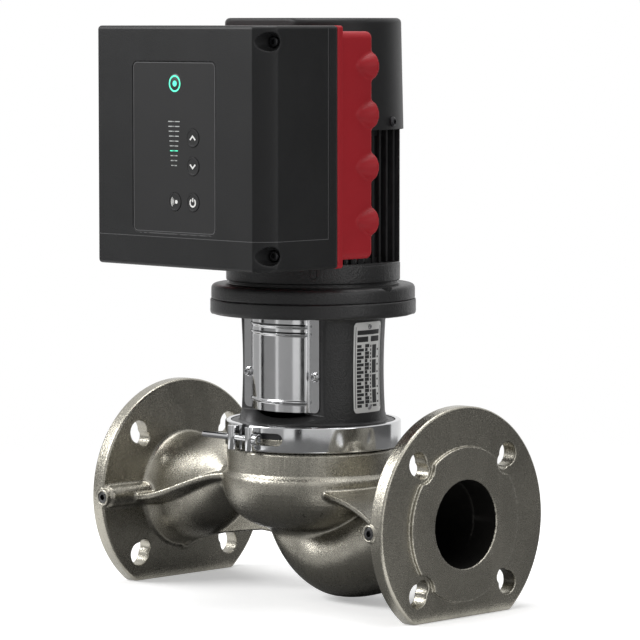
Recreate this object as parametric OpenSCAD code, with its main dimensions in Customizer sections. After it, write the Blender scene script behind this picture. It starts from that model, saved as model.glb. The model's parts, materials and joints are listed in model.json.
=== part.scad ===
// Inline centrifugal pump with a motor on top and a speed control box on its front.
// X runs along the pipe, the control box faces -Y and Z is up.
// The origin is the centre of the inlet port face, and the shaft axis stands half a port span behind it.

/* [Ports] */
// Distance between the two port faces
port_span = 340; // [320:1:400]
// Outer diameter of the port flanges
flange_d = 185; // [176:1:210]
// Thickness of a flange behind its raised face
flange_t = 13.2; // [10:0.1:18]
// Height of the raised face
face_t = 3; // [1:0.1:4]
// Diameter of the raised face
face_d = 122; // [116:1:126]
// Bore of the ports
bore_d = 70; // [62:1:74]
// Depth of the straight bore behind each face
bore_depth = 24; // [18:1:30]
// Circle of the large bolt holes
bolt_circle = 145; // [144:1:148]
// Diameter of the large bolt holes
bolt_hole_d = 19; // [18:0.5:20]
// Circle of the small bolt holes that run into the large ones
inner_circle = 130; // [128:1:132]
// Diameter of the small bolt holes
inner_hole_d = 13; // [10:0.5:13]
// Height of the pipe axis above the flats that the flanges stand on
axis_h = 73.7; // [72:0.1:80]
// Diameter of the pressure tapping bosses
tap_boss_d = 14; // [13:0.5:16]
// Diameter of the tapping plugs
tap_d = 9.7; // [8:0.1:10]
// Width of the rounded ribs that carry the tappings
tap_rib_d = 18; // [16:0.5:20]

/* [Casing] */
// Diameter of the bowl round the impeller
bowl_d = 147.6; // [144:0.2:150]
// Height of the bowl's widest line above the pipe axis
bowl_h = 20; // [16:1:22]
// Depth of the bowl's floor below the pipe axis
bowl_low = 17.5; // [16:0.5:18]
// Diameter of the casing's neck
neck_d = 140; // [138:0.5:141]
// Wall of the casing
casing_wall = 6; // [5:0.5:7]
// Outer diameter of the limbs behind the flanges
limb_d = 88; // [86:0.5:92]
// Clearance under the suction elbow
elbow_clear = 2.7; // [2:0.1:4]
// Height of the suction passage under the bowl
elbow_h = 51; // [48:1:52]
// Diameter of the suction passage where it turns up
eye_pipe_d = 63; // [60:0.5:64]
// Thickness of the web between the two limbs
web_t = 11; // [8:0.5:14]

/* [Stool and clamp] */
// Height of the joint between casing and stool above the pipe axis
split_h = 60; // [58:0.1:61]
// Height of the motor stool
stool_h = 109; // [106:0.1:118]
// Diameter of the stool's body
stool_d = 119.4; // [118:0.2:122]
// How far the body narrows at mid height
stool_waist = 1.7; // [0:0.1:2.5]
// Diameter of the stool's inner space
stool_bore_d = 92; // [88:1:96]
// Distance from the shaft axis to the stool's flat front
stool_flat = 35; // [34:0.5:38]
// Diameter of the stool's motor flange
seat_d = 166.8; // [162:0.2:170]
// Thickness of the stool's motor flange
seat_t = 12.5; // [11:0.5:16]
// Outer diameter of the wedge flanges under the clamp
wedge_d = 138.4; // [138:0.2:139]
// Outer diameter of the clamp band
clamp_d = 143; // [142.4:0.1:145]
// Height of the clamp band
clamp_h = 20.9; // [20.6:0.1:24]
// Diameter of the clamp bolt
clamp_bolt_d = 5; // [4:0.5:6]

/* [Coupling guard] */
// Radius of the guard's bulge
guard_r = 50; // [49.5:0.5:52]
// Sheet thickness of the guard
guard_t = 1; // [0.8:0.1:1.5]
// Height of the guard
guard_h = 75.8; // [72:0.1:78]
// Diameter of the guard screws' heads
guard_screw_d = 8; // [6:0.5:9]

/* [Motor] */
// How much smaller the motor flange is than the stool's
flange_step = 1.6; // [0:0.1:3]
// Thickness of the motor flange
motor_flange_t = 12; // [10:0.5:14]
// Diameter of the ring above the motor flange
shield_d = 141; // [138:1:144]
// Height of the end shield above its flange
shield_h = 18.5; // [17:0.5:20]
// Length of the finned stator housing
stator_h = 106.5; // [100:0.5:116]
// Half width of the square that the fin tips reach
fin_reach = 60; // [59:0.5:61]
// Diameter of the circle that trims the fin tips
fin_circle_d = 142; // [140:1:143]
// Spacing of the cooling fins
fin_pitch = 7.9; // [7:0.1:10]
// Thickness of a cooling fin
fin_t = 2.2; // [1.6:0.1:3]
// Diameter of the stator housing's barrel
barrel_d = 115; // [114:1:117]
// Diameter of the stator core
stator_core_d = 106; // [100:1:107]
// Length of the stator core
core_h = 70; // [60:1:76]
// Diameter of the rotor core
rotor_d = 60; // [54:1:64]

/* [Fan cover] */
// Diameter of the fan cover at its skirt
cowl_d = 146; // [145:0.5:150]
// Diameter of the fan cover at its top
cowl_top_d = 142; // [138:0.5:144]
// Height of the fan cover
cowl_h = 89; // [84:1:100]
// Wall of the fan cover
cowl_wall = 2; // [1.5:0.1:2.4]
// Diameter of the fan
fan_d = 112; // [96:1:116]
// Number of fan blades
fan_blades = 8; // [6:1:10]

/* [Shaft line] */
// Diameter of the pump shaft
pump_shaft_d = 16; // [14:0.5:16]
// Diameter of the motor shaft
motor_shaft_d = 24; // [22:0.5:25]
// Diameter of the impeller
impeller_d = 118; // [108:1:122]
// Number of impeller blades
impeller_blades = 6; // [5:1:7]
// Diameter of the impeller's eye
eye_d = 57; // [52:0.5:58]
// Diameter of the muff coupling
coupling_d = 56; // [52:1:60]
// Height of the muff coupling
coupling_h = 56; // [50:1:60]
// Radial running clearance
run_clear = 0.1; // [0.05:0.01:0.2]

/* [Control box] */
// Width of the box cover
cover_w = 200; // [196:1:210]
// Height of the box cover
cover_h = 188.5; // [184:0.5:192]
// Distance from the shaft axis to the cover's front face
cover_front = 153; // [148:1:165]
// Distance from the shaft axis to the joint between cover and base
cover_rear = 73.2; // [70:0.1:76]
// Wall of the cover
cover_wall = 3.5; // [3:0.1:4]
// How far the cover's front edges are set back at the sides
cover_bevel_w = 12; // [8:1:14]
// How deep the cover's bevelled side edges run
cover_bevel_d = 17; // [12:1:20]
// Height of the cover's lower edge above the motor flange's joint
cover_low = 31.5; // [31:0.1:35]
// Diameter of the recesses for the cover screws
recess_d = 14.6; // [13:0.1:16]
// Depth of the base behind the cover joint
base_depth = 42.2; // [40:0.1:46]
// Width of the base behind its lip
base_w = 194; // [190:1:195]
// Height of the base behind its lip
base_h = 178; // [174:0.5:180]
// Thickness of the lip round the base
lip_t = 7; // [5:0.1:9]
// Wall of the base
base_wall = 3; // [2.5:0.1:4]
// Radius of the cable entry domes
dome_r = 11.3; // [10:0.1:13]
// Length of the cable entry domes
dome_len = 22.2; // [15:0.1:26]

/* [Control panel] */
// Width of the panel
panel_w = 94; // [90:1:100]
// Height of the panel
panel_h = 133; // [128:1:138]
// Thickness of the panel
panel_t = 1.2; // [1:0.1:1.6]
// Height of the panel's centre above the cover's lower edge
panel_mid = 93.7; // [90:0.1:95]
// Diameter of the keys
key_d = 14.4; // [12:0.1:15]
// Radial gap round a key
key_gap = 0.3; // [0.25:0.05:0.4]
// Travel of a key
key_travel = 0.5; // [0.3:0.1:0.6]
// Diameter of the status light
status_d = 15; // [12:0.5:16]
// Number of level lights
level_count = 10; // [8:1:10]
// Spacing of the level lights
level_pitch = 3.8; // [3.4:0.1:4]
// Width of the longest level light
level_w = 13.4; // [12:0.1:16]
// Width of the shortest level light
level_min_w = 6.4; // [5:0.1:8]

/* [Hidden] */
$fn = 96;
cast_metal = "#a39c8b";
coated_metal = "#3b3b3c";
polished = "#c9cbcd";
zinc = "#aeb0b2";
black_plastic = "#26272a";
black_metal = "#1b1c1e";
red_plastic = "#97252f";
copper = "#b87333";
shaft_metal = "#b9bbbd";
rubber = "#151515";

// Directions: -1 or 1 picks the outlet or inlet end, the left or right side.
ends = [1, -1];
half_span = port_span / 2;
flange_back = half_span - face_t - flange_t;
foot_z = -axis_h;
ring_sides = 28;

// Casing levels
elbow_mid = -axis_h + elbow_clear + casing_wall + elbow_h / 2;
turn_r = 8;
turn_x = eye_pipe_d / 2 + turn_r;
turn_z = elbow_mid + elbow_h / 2 + turn_r;
floor_z = turn_z + 2;
ledge_z = split_h - 10;
cavity_d = bowl_d - 2 * casing_wall;
cover_disc_d = wedge_d - 18;
outlet_rise = 20;

// Clamp wedge: half height at a radius, grown by a clearance
wedge_slope = 1.5;
wedge_edge = 5.6;
clamp_gap = 0.3;
function wedge_half(r, gap = 0) =
    wedge_edge + (wedge_d / 2 - r) * wedge_slope + gap * sqrt(1 + wedge_slope * wedge_slope);
wedge_root = wedge_d / 2 - 2.8;
clamp_lip = clamp_d / 2 - 4.6;

// Stool levels
motor_z = split_h + stool_h;
seat_low = motor_z - seat_t;
stool_foot = split_h + wedge_half(wedge_root);
window_low = split_h + 18;
sill_drop = 7.4;
window_high = seat_low - 0.2;
stool_floor = split_h + 6;
bolt_seat_r = (seat_d / 2 + stool_bore_d / 2) / 2 + 9;

// Guard levels
guard_low = seat_low - 0.5 - guard_h;
guard_half = 43;
guard_beads = [8, guard_h - 13.2, guard_h - 7];
pad_drop = 3;
bulge_half = 31.5;
guard_screw_x = 38.2;
guard_screw_z = guard_low + 28.7;

// Motor levels
motor_flange_d = seat_d - flange_step;
shield_gap = 3;
shield_z = motor_z + motor_flange_t + shield_gap;
stator_z = motor_z + motor_flange_t + shield_h;
cowl_z = stator_z + stator_h;
cowl_top = cowl_z + cowl_h;
core_z = stator_z + 18;
front_pad = 60;
cap_t = 5;
fan_z = cowl_z + 22;
low_bearing = [25, 52, 15];
high_bearing = [17, 40, 12];
low_bearing_z = stator_z - 13;
high_bearing_z = cowl_z - 8;
cowl_screw_z = cowl_z + 6.5;
cowl_screw_a = 15;

// Shaft line levels
eye_depth = 5;
impeller_z = floor_z + 6;
blade_h = 13;
shroud_t = 2.6;
hub_h = 26;
seal_z = impeller_z + hub_h + 0.5;
seat_z = ledge_z - 2.5;
coupling_z = guard_low + 9;
shaft_joint = coupling_z + coupling_h * 0.55;
muff_gap = 1;

// Control box levels
box_z = motor_z + cover_low;
box_mid = box_z + cover_h / 2;
recess_x = cover_w / 2 - 6;
recess_z = cover_h / 2 - 12.35;
recess_floor = cover_front - 21;
recess_bore_d = 9.4;
pocket_out = 3;
pocket_floor = cover_front - 11.5;
post_d = recess_d + 4;
corner_r = 2.5;
base_mid = box_mid + 0.7;
// Fine groove round the cover, at a level and at a distance in front of the shaft axis
groove_z = box_z + 23;
groove_y = cover_rear + 9.5;
groove_w = 0.5;
groove_t = 0.4;
groove_end = box_z + cover_h - 2;
base_back = cover_rear - base_depth;
front_gap = 0.3;
domes = [-59.5, -17, 24, 62];
dome_sunk = 3.6;

// Panel places
panel_z = box_z + panel_mid;
panel_face = cover_front - 0.3;
key_x = 21.5;
key_top = 302 - 294.2;
keys = [
    ["key_up", key_x, key_top],
    ["key_down", key_x, key_top - 22],
    ["key_radio", 0.8, key_top - 50],
    ["key_power", key_x, key_top - 50]
];
key_proud = 0.4;
status_z = 49.8;
level_top = 20.3;
board_y = panel_face - 14;
board_t = 1.6;

// Helpers

// Places what is drawn round the shaft axis into the frame of the inlet face
module on_shaft() translate([-half_span, 0, 0]) children();

// Faces a child outward at a port, its Z pointing out of the face
module at_port(end) translate([end * half_span, 0, 0]) rotate([0, end * 90, 0]) children();

// A solid of revolution about the shaft axis, from points of radius and height
module turned(points) rotate_extrude() polygon(points);

// A straight ring about the shaft axis
module tube(outer_d, inner_d, low, high)
    turned([[inner_d / 2, low], [outer_d / 2, low], [outer_d / 2, high], [inner_d / 2, high]]);

// A rounded rectangle about the origin
module round_rect(w, h, r) {
    square([w - 2 * r, h], center = true);
    square([w, h - 2 * r], center = true);
    for (sx = ends, sz = ends)
        translate([sx * (w / 2 - r), sz * (h / 2 - r)]) circle(r);
}

// Draws an outline seen from the front and pushes it back along +Y, from y = front to y = back
module from_front(front, back)
    translate([0, back, 0]) rotate([90, 0, 0]) linear_extrude(back - front) children();

// A cylinder along Y
module along_y(d, front, back) translate([0, back, 0]) rotate([90, 0, 0]) cylinder(d = d, h = back - front);

function ease(t) = t * t * (3 - 2 * t);
function mix(a, b, t) = a + (b - a) * t;
function arc(cx, cy, rx, ry, from, to, steps) =
    [for (i = [0 : steps]) let (a = mix(from, to, i / steps)) [cx + rx * cos(a), cy + ry * sin(a)]];

// An elliptic ring of points in a plane that holds the Y direction and leans by tilt from upright
function ring(x, z, half_w, half_h, tilt = 0) = [
    for (i = [0 : ring_sides - 1])
        let (a = 360 * i / ring_sides, up = half_h * cos(a))
        [x + up * sin(tilt), half_w * sin(a), z + up * cos(tilt)]
];

// A closed skin over a row of rings, from the inlet side towards the outlet side
module loft(rings) {
    n = len(rings[0]);
    last = len(rings) - 1;
    sides = [
        for (k = [0 : last - 1], i = [0 : n - 1])
            let (j = (i + 1) % n)
            [k * n + i, (k + 1) * n + i, (k + 1) * n + j, k * n + j]
    ];
    first_cap = [for (i = [0 : n - 1]) i];
    last_cap = [for (i = [n - 1 : -1 : 0]) last * n + i];
    polyhedron([for (r = rings) each r], concat([first_cap, last_cap], sides), convexity = 6);
}

// Casing

// Rings along the suction limb: a falling run, then a turn up into the impeller's eye.
// The inset is zero for the outside and the casing wall for the passage.
run_steps = 7;
turn_steps = 6;
turn_square = 1.7;
function corner(a) = pow(pow(abs(cos(a)), turn_square) + pow(abs(sin(a)), turn_square), -1 / turn_square);
flare_len = 20;
function flared(flare, run) = flare * pow(1 - min(1, run / flare_len), 2);
// Half a limb's height or width: the bore that ends at last, or the outside round it
function limb_half(inset, last, t) = inset > 0
    ? mix(bore_d / 2 - 0.8, last, t)
    : mix(limb_d / 2, last + casing_wall, t);
function suction_rings(inset, start_x, flare) = concat(
    [
        for (i = [0 : run_steps])
            let (
                t = i / run_steps,
                x = mix(start_x, turn_x, t),
                half_h = limb_half(inset, elbow_h / 2, ease(t)) + flared(flare, start_x - x),
                half_w = limb_half(inset, eye_pipe_d / 2, t) + flared(flare, start_x - x)
            )
            ring(x, elbow_mid * ease(t), half_w, half_h)
    ],
    [
        for (i = [1 : turn_steps])
            let (
                a = 90 * i / turn_steps,
                near = turn_r - casing_wall + inset,
                far_level = mix(turn_r + elbow_h, turn_r + eye_pipe_d, i / turn_steps) + casing_wall,
                far = far_level * corner(a) - inset,
                middle = (near + far) / 2
            )
            ring(turn_x - middle * sin(a), turn_z - middle * cos(a),
                 eye_pipe_d / 2 + casing_wall - inset, (far - near) / 2, a)
    ]
);

// Rings along the discharge limb, which climbs from the outlet face into the bowl's side
outlet_steps = 8;
outlet_end = bowl_d / 2 - 16;
outlet_end_h = 16;
// Share of the run over which the limb closes in, so that its top passes under the clamp
outlet_close = 0.88;
function discharge_rings(inset, start_x, flare) = [
    for (i = [outlet_steps : -1 : 0])
        let (
            t = i / outlet_steps,
            x = mix(start_x, outlet_end, t),
            grow = flared(flare, start_x - x),
            half_h = limb_half(inset, outlet_end_h, pow(min(1, t / outlet_close), 4)) + grow,
            half_w = limb_half(inset, bore_d / 2 - 3, t) + grow
        )
        ring(-x, outlet_rise * ease(t), half_w, half_h)
];

module port_flange(end) {
    rim = flange_d / 2;
    edge = 1.6;
    plate = -face_t - flange_t;
    at_port(end) rotate_extrude() polygon([
        [0, plate], [rim - edge, plate], [rim, plate + edge],
        [rim, -face_t - edge], [rim - edge, -face_t], [0, -face_t]
    ]);
    at_port(end) difference() {
        translate([0, 0, -face_t - 1]) cylinder(d = face_d, h = face_t + 1);
        for (a = [45 : 90 : 315])
            rotate(a) translate([(bolt_circle + inner_circle) / 4 + 1, 0, -face_t])
                cylinder(d = bolt_hole_d + 9, h = face_t + 1);
    }
    // Boss of the pressure tapping and the rib behind it, along the back of the flange
    translate([end * flange_back, 0, 0]) {
        along_y(tap_boss_d, -rim - 1, 0);
        along_y(tap_rib_d, -rim + 3, 0);
    }
}

module port_bores(end) {
    at_port(end) translate([0, 0, -bore_depth]) cylinder(d = bore_d, h = bore_depth + 1);
    at_port(end) for (a = [45 : 90 : 315]) rotate(a) translate([0, 0, -face_t - flange_t - 4]) {
        translate([bolt_circle / 2, 0, 0]) cylinder(d = bolt_hole_d, h = face_t + flange_t + 8);
        translate([inner_circle / 2, 0, 0]) cylinder(d = inner_hole_d, h = face_t + flange_t + 8);
    }
    translate([end * flange_back, 0, 0]) along_y(tap_d + 0.2, -flange_d / 2 - 2, -flange_d / 2 + 11);
}

// The bowl, the neck above it and the lower wedge flange of the clamp joint
module bowl() {
    flat_r = 30;
    neck_r = neck_d / 2;
    root = wedge_root - 1.5;
    low = split_h - wedge_half(wedge_root);
    turned(concat(
        [[0, -bowl_low], [flat_r, -bowl_low]],
        arc(flat_r, bowl_h, bowl_d / 2 - flat_r, bowl_h + bowl_low, -75, 0, 6),
        [
            [bowl_d / 2 - 1.2, bowl_h + 5], [neck_r + 0.8, bowl_h + 9], [neck_r, bowl_h + 13],
            [neck_r, low - 3.5], [neck_r - 1.5, low - 1.6], [root, low - 1.6], [root, low],
            [wedge_root, low], [wedge_d / 2, split_h - wedge_edge], [wedge_d / 2, split_h], [0, split_h]
        ]
    ));
}

// The space round the impeller, open at the top for the seal cover
module volute_space() {
    mouth = cover_disc_d / 2 - 4;
    turned(concat(
        [[0, floor_z], [cavity_d / 2 - 12, floor_z]],
        arc(cavity_d / 2 - 12, floor_z + 12, 12, 12, -60, 0, 3),
        [[cavity_d / 2, bowl_h + 6], [mouth, ledge_z - 5], [mouth, ledge_z], [0, ledge_z]]
    ));
    translate([0, 0, ledge_z - 0.01]) cylinder(d = cover_disc_d + 0.4, h = split_h - ledge_z + 1);
    // Seat of the neck ring and groove of the O-ring
    translate([0, 0, floor_z - eye_depth]) cylinder(d = eye_d + 17, h = eye_depth + 1);
    tube(o_ring_d + 4, o_ring_d - 4, split_h - 3, split_h + 1);
}
o_ring_d = cover_disc_d + 9;

// The plate that ties the two limbs together under the bowl, with a pointed gusset at the outlet flange
module limb_web() {
    left = -flange_back;
    low = -limb_d / 2;
    rotate([90, 0, 0]) linear_extrude(web_t, center = true) polygon([
        [left + 8, low + 8], [left + 34, low + 8],
        [-bowl_d / 2 - 25, low + 11.5], [-bowl_d / 2, -bowl_low - 11],
        [-bowl_d / 2 + 18, -bowl_low - 8.5], [-eye_pipe_d / 2 + 4, -bowl_low - 10],
        [-eye_pipe_d / 2 + 12, -bowl_low + 4], [left + 20, 0]
    ]);
    rotate([90, 0, 0]) linear_extrude(web_t / 2, center = true)
        polygon([[left - 1, low + 8], [left - 1, low - 6], [left + 5, low - 3], [left + 16, low + 8]]);
}

// Ribs along the casting's parting line, from a point on the bowl down to the tapping boss.
// A rib is a row of five-cornered slices whose noses follow the line.
rib_steps = 7;
rib_root = 22;
inlet_rib = [[56, 45, 17], [flange_back - 2, flange_d / 2 - 9, 2.5]];
outlet_rib = [[62, 42, 22], [flange_back - 6, flange_d / 2 - 26, -1]];
function rib_slice(side, x, y, z) =
    let (half = [[rib_root, z + 3], [y - 3, z + 2.2], [y, z], [y - 3, z - 3], [rib_root, z - 14]])
    [for (i = [0 : 4]) let (p = half[side > 0 ? i : 4 - i]) [x, side * p.x, p.y]];
function inlet_rib_rings(side) = [
    for (i = [rib_steps : -1 : 0])
        let (s = i / rib_steps, y = mix(inlet_rib[0].y, inlet_rib[1].y, s))
        rib_slice(side, mix(inlet_rib[0].x, inlet_rib[1].x, s), y,
                  mix(inlet_rib[0].z, inlet_rib[1].z, pow(s, 2.4)))
];
function outlet_rib_rings(side) = [
    for (i = [0 : rib_steps])
        let (s = i / rib_steps, y = mix(outlet_rib[0].y, outlet_rib[1].y, s))
        rib_slice(side, -mix(outlet_rib[0].x, outlet_rib[1].x, s), y,
                  mix(outlet_rib[0].z, outlet_rib[1].z, ease(s)))
];

module pump_housing() {
    color(cast_metal) on_shaft() difference() {
        union() {
            for (end = ends) port_flange(end);
            bowl();
            loft(suction_rings(0, flange_back + 4, 6));
            loft(discharge_rings(0, flange_back + 4, 6));
            limb_web();
            for (side = ends) {
                loft(inlet_rib_rings(side));
                loft(outlet_rib_rings(side));
            }
        }
        for (end = ends) port_bores(end);
        loft(suction_rings(casing_wall, half_span - bore_depth + 4, 0));
        loft(discharge_rings(casing_wall, half_span - bore_depth + 4, 0));
        volute_space();
        translate([-port_span, -flange_d, foot_z - flange_d]) cube([2 * port_span, 2 * flange_d, flange_d]);
    }
}

// Screwed plugs in the tappings, with a hexagon socket
module tapping_plug(end) {
    head = flange_d / 2 + 0.6;
    color(zinc) on_shaft() translate([end * flange_back, 0, 0]) difference() {
        along_y(tap_d, -head, -head + 9);
        translate([0, -head + 4, 0]) rotate([90, 0, 0]) cylinder(d = tap_d * 0.52, h = 6, $fn = 6);
    }
}
module inlet_tapping_plug() tapping_plug(1);
module outlet_tapping_plug() tapping_plug(-1);

// Replaceable ring that seals round the impeller's neck
module neck_ring() color("#8d8266") on_shaft()
    tube(eye_d + 16.8, eye_d + 7 + 4 * run_clear, floor_z - eye_depth, floor_z + 2.5);

// Hydraulics on the shaft

module impeller_blade() {
    // A slice of a ring that sweeps backwards from the eye to the rim
    bow = impeller_d * 0.34;
    translate([impeller_d * 0.245, impeller_d * 0.235]) difference() {
        circle(bow);
        circle(bow - 2.4);
        rotate(-150) translate([0, -2 * bow]) square([3 * bow, 4 * bow]);
    }
}

module impeller() {
    r = impeller_d / 2;
    low = impeller_z;
    top = low + blade_h;
    hub_r = pump_shaft_d / 2 + 5;
    neck = eye_d / 2 + 3.5;
    color("#8f9396") on_shaft() difference() {
        union() {
            turned([
                [0, low + 3], [hub_r, low + 3], [hub_r + 2, top - 1], [r, top], [r, top + shroud_t],
                [hub_r + 3, top + shroud_t + 1], [hub_r, top + shroud_t + 4],
                [hub_r, low + hub_h], [0, low + hub_h]
            ]);
            turned([
                [eye_d / 2, floor_z - eye_depth + 1], [neck, floor_z - eye_depth + 1], [neck, low - 1],
                [r, low + 5], [r, low + 5 + shroud_t], [neck, low + 3.4], [eye_d / 2, low + 2]
            ]);
            intersection() {
                for (k = [0 : impeller_blades - 1]) rotate(360 * k / impeller_blades)
                    translate([0, 0, low - 2]) linear_extrude(blade_h + 3) impeller_blade();
                turned([
                    [hub_r + 1, low + 2], [eye_d / 2 + 1, low + 2], [r, low + 6], [r, top + 1],
                    [hub_r + 1, top + 1]
                ]);
            }
        }
        translate([0, 0, low]) cylinder(d = pump_shaft_d - 3, h = hub_h + 1);
        translate([0, 0, low + 8]) cylinder(d = pump_shaft_d + 0.02, h = hub_h);
    }
}

module impeller_nut() {
    low = impeller_z - 7;
    color(zinc) on_shaft() difference() {
        union() {
            translate([0, 0, low]) cylinder(d = pump_shaft_d + 4, h = 8, $fn = 6);
            translate([0, 0, low + 8]) cylinder(d = pump_shaft_d + 8, h = 2);
        }
        translate([0, 0, low - 1]) cylinder(d = pump_shaft_d - 3, h = 12);
    }
}

module pump_shaft() {
    color(shaft_metal) on_shaft() union() {
        translate([0, 0, impeller_z - 8]) cylinder(d = pump_shaft_d - 3, h = 17);
        translate([0, 0, impeller_z + 8]) cylinder(d = pump_shaft_d, h = shaft_joint - impeller_z - 9);
    }
}

// Spring-loaded half of the shaft seal, which turns with the shaft
module seal_rotating_part() color("#7d8084") on_shaft()
    turned([
        [pump_shaft_d / 2 + 0.02, seal_z], [pump_shaft_d / 2 + 5, seal_z],
        [pump_shaft_d / 2 + 6, seal_z + 1.5],
        [pump_shaft_d / 2 + 6, seat_z - 3], [pump_shaft_d / 2 + 5, seat_z - 3],
        [pump_shaft_d / 2 + 5, seat_z - run_clear], [pump_shaft_d / 2 + 0.02, seat_z - run_clear]
    ]);

// Fixed carbon ring that the rotating part runs against
module seal_seat() color("#2e2e30") on_shaft()
    turned([
        [pump_shaft_d / 2 + 1.2, seat_z], [pump_shaft_d / 2 + 6.5, seat_z],
        [pump_shaft_d / 2 + 6.5, ledge_z],
        [pump_shaft_d / 2 + 7.5, ledge_z + 1], [pump_shaft_d / 2 + 7.5, ledge_z + 5],
        [pump_shaft_d / 2 + 1.2, ledge_z + 5]
    ]);

// Disc between casing and stool that carries the seal seat
module seal_cover() color("#9a9890") on_shaft() difference() {
    translate([0, 0, ledge_z]) cylinder(d = cover_disc_d, h = split_h - ledge_z);
    translate([0, 0, ledge_z - 1]) cylinder(d = pump_shaft_d + 15.1, h = 6);
    translate([0, 0, ledge_z - 1]) cylinder(d = pump_shaft_d + 6, h = 20);
    tube(cover_disc_d - 20, pump_shaft_d + 30, ledge_z - 1, ledge_z + 4);
}

module casing_o_ring() color(rubber) on_shaft()
    rotate_extrude() translate([o_ring_d / 2, split_h - 1.5]) circle(d = 2.9);

// Stool, clamp and guards

// Side line of the stool's body, drawn in at mid height by the waist
function waist_points(grow, low, high, steps) = [
    for (i = [0 : steps])
        let (
            z = mix(low, high, i / steps),
            t = (z - stool_foot) / (seat_low - stool_foot)
        )
        [stool_d / 2 + grow - stool_waist * sin(180 * t), z]
];

module motor_stool() {
    rim = seat_d / 2;
    color(coated_metal) on_shaft() difference() {
        union() {
            turned(concat(
                [[0, split_h], [wedge_d / 2, split_h], [wedge_d / 2, split_h + wedge_edge],
                 [wedge_root, stool_foot], [stool_d / 2 + 0.5, stool_foot + 0.5]],
                waist_points(0, stool_foot + 1, seat_low - 2.5, 8),
                [[stool_d / 2 + 0.8, seat_low - 0.8], [stool_d / 2 + 2.5, seat_low], [rim - 3, seat_low],
                 [rim - 0.9, seat_low + 0.9], [rim, seat_low + 3], [rim, motor_z - 1],
                 [rim - 1, motor_z], [0, motor_z]]
            ));
            // Pads under the flange on the two sides away from the windows
            for (a = [45, 225]) rotate(a)
                intersection() {
                    translate([rim - 13, -9, seat_low - pad_drop]) cube([14, 18, pad_drop + 1]);
                    translate([0, 0, seat_low - pad_drop]) cylinder(r = rim, h = pad_drop + 1);
                }
        }
        // Inner space, open to the motor, and the hole for the shaft
        turned([
            [0, stool_floor], [pump_shaft_d / 2 + 14, stool_floor], [stool_bore_d / 2 - 8, stool_floor + 3],
            [stool_bore_d / 2, stool_floor + 14], [stool_bore_d / 2, motor_z + 1], [0, motor_z + 1]
        ]);
        translate([0, 0, split_h - 1]) cylinder(d = pump_shaft_d + 6, h = 20);
        // Windows at front and rear, with a sill that runs down in a hollow curve
        for (side = ends) scale([1, side, 1]) {
            translate([-stool_d, stool_flat, window_low])
                cube([2 * stool_d, stool_d, window_high - window_low]);
            rotate([90, 0, 90]) translate([0, 0, -stool_d]) linear_extrude(2 * stool_d)
                polygon(concat(
                    [[stool_flat, window_low + 1]],
                    [for (t = [0 : 0.25 : 1])
                        [mix(stool_flat, stool_d / 2, t), window_low - sill_drop * (1 - pow(1 - t, 2))]],
                    [[stool_d, window_low - sill_drop], [stool_d, window_low + 1]]
                ));
        }
        // Counterbored holes of the stool bolts
        for (a = [45 : 90 : 315]) rotate(a) translate([bolt_seat_r, 0, 0]) {
            translate([0, 0, seat_low - pad_drop - 1]) cylinder(d = 9, h = seat_t + 8);
            translate([0, 0, seat_low - pad_drop - 1]) cylinder(d = 15, h = pad_drop + 8);
        }
        for (side = ends, x = ends) scale([1, side, 1])
            translate([x * guard_screw_x, 0, guard_screw_z]) along_y(5, stool_flat - 9, stool_flat + 1);
        for (z = plate_rivet_levels) rotate(plate_a) translate([0, 0, z]) rotate([0, 90, 0])
            cylinder(d = 2.2, h = stool_d);
    }
}

// Two-flank band with a gap at the front, a barrel at each end and a window for the bolt head
clamp_open_x = -5.5;
clamp_open_w = 9;
barrel_r = 4.3;
barrel_y = -clamp_d / 2 - barrel_r + 0.6;
barrel_left = -15.5;
barrel_right = 4.5;
clamp_window = [barrel_right + barrel_r - 0.3, 30.5];
clamp_window_h = 10.2;
module clamp_band() {
    outer = clamp_d / 2;
    inner = wedge_d / 2 + clamp_gap;
    half = clamp_h / 2;
    color(polished) on_shaft() difference() {
        translate([0, 0, split_h]) turned([
            [clamp_lip, -half], [outer - 1.4, -half], [outer, -half + 1.4], [outer, half - 1.4],
            [outer - 1.4, half], [clamp_lip, half], [clamp_lip, wedge_half(clamp_lip, clamp_gap)],
            [inner, wedge_half(inner, clamp_gap)], [inner, -wedge_half(inner, clamp_gap)],
            [clamp_lip, -wedge_half(clamp_lip, clamp_gap)]
        ]);
        // Gap between the two ends of the band
        translate([clamp_open_x - clamp_open_w / 2, -outer - 1, split_h - half - 1])
            cube([clamp_open_w, outer / 2, clamp_h + 2]);
        // Window with round ends for the bolt head
        from_front(-outer - 1, -inner / 2) translate([0, split_h]) {
            translate([clamp_window[0], -clamp_window_h / 2])
                square([clamp_window[1] - clamp_window[0] - clamp_window_h / 2, clamp_window_h]);
            translate([clamp_window[1] - clamp_window_h / 2, 0]) circle(d = clamp_window_h);
        }
    }
}

// Upright barrels that the two ends of the band are wrapped round
module clamp_barrels() color(polished) on_shaft()
    for (x = [barrel_left, barrel_right])
        difference() {
            union() {
                translate([x, barrel_y, split_h - clamp_h / 2 + 1]) cylinder(r = barrel_r, h = clamp_h - 2);
                translate([x - barrel_r, barrel_y, split_h - clamp_h / 2 + 1.5])
                    cube([barrel_r * 2, -clamp_d / 2 - barrel_y + 3.2, clamp_h - 3]);
            }
            translate([x - 10, barrel_y, split_h]) rotate([0, 90, 0])
                cylinder(d = clamp_bolt_d + 0.4, h = 20);
            // The back follows the band
            cylinder(d = clamp_d + 0.1, h = split_h + clamp_h);
        }

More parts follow.
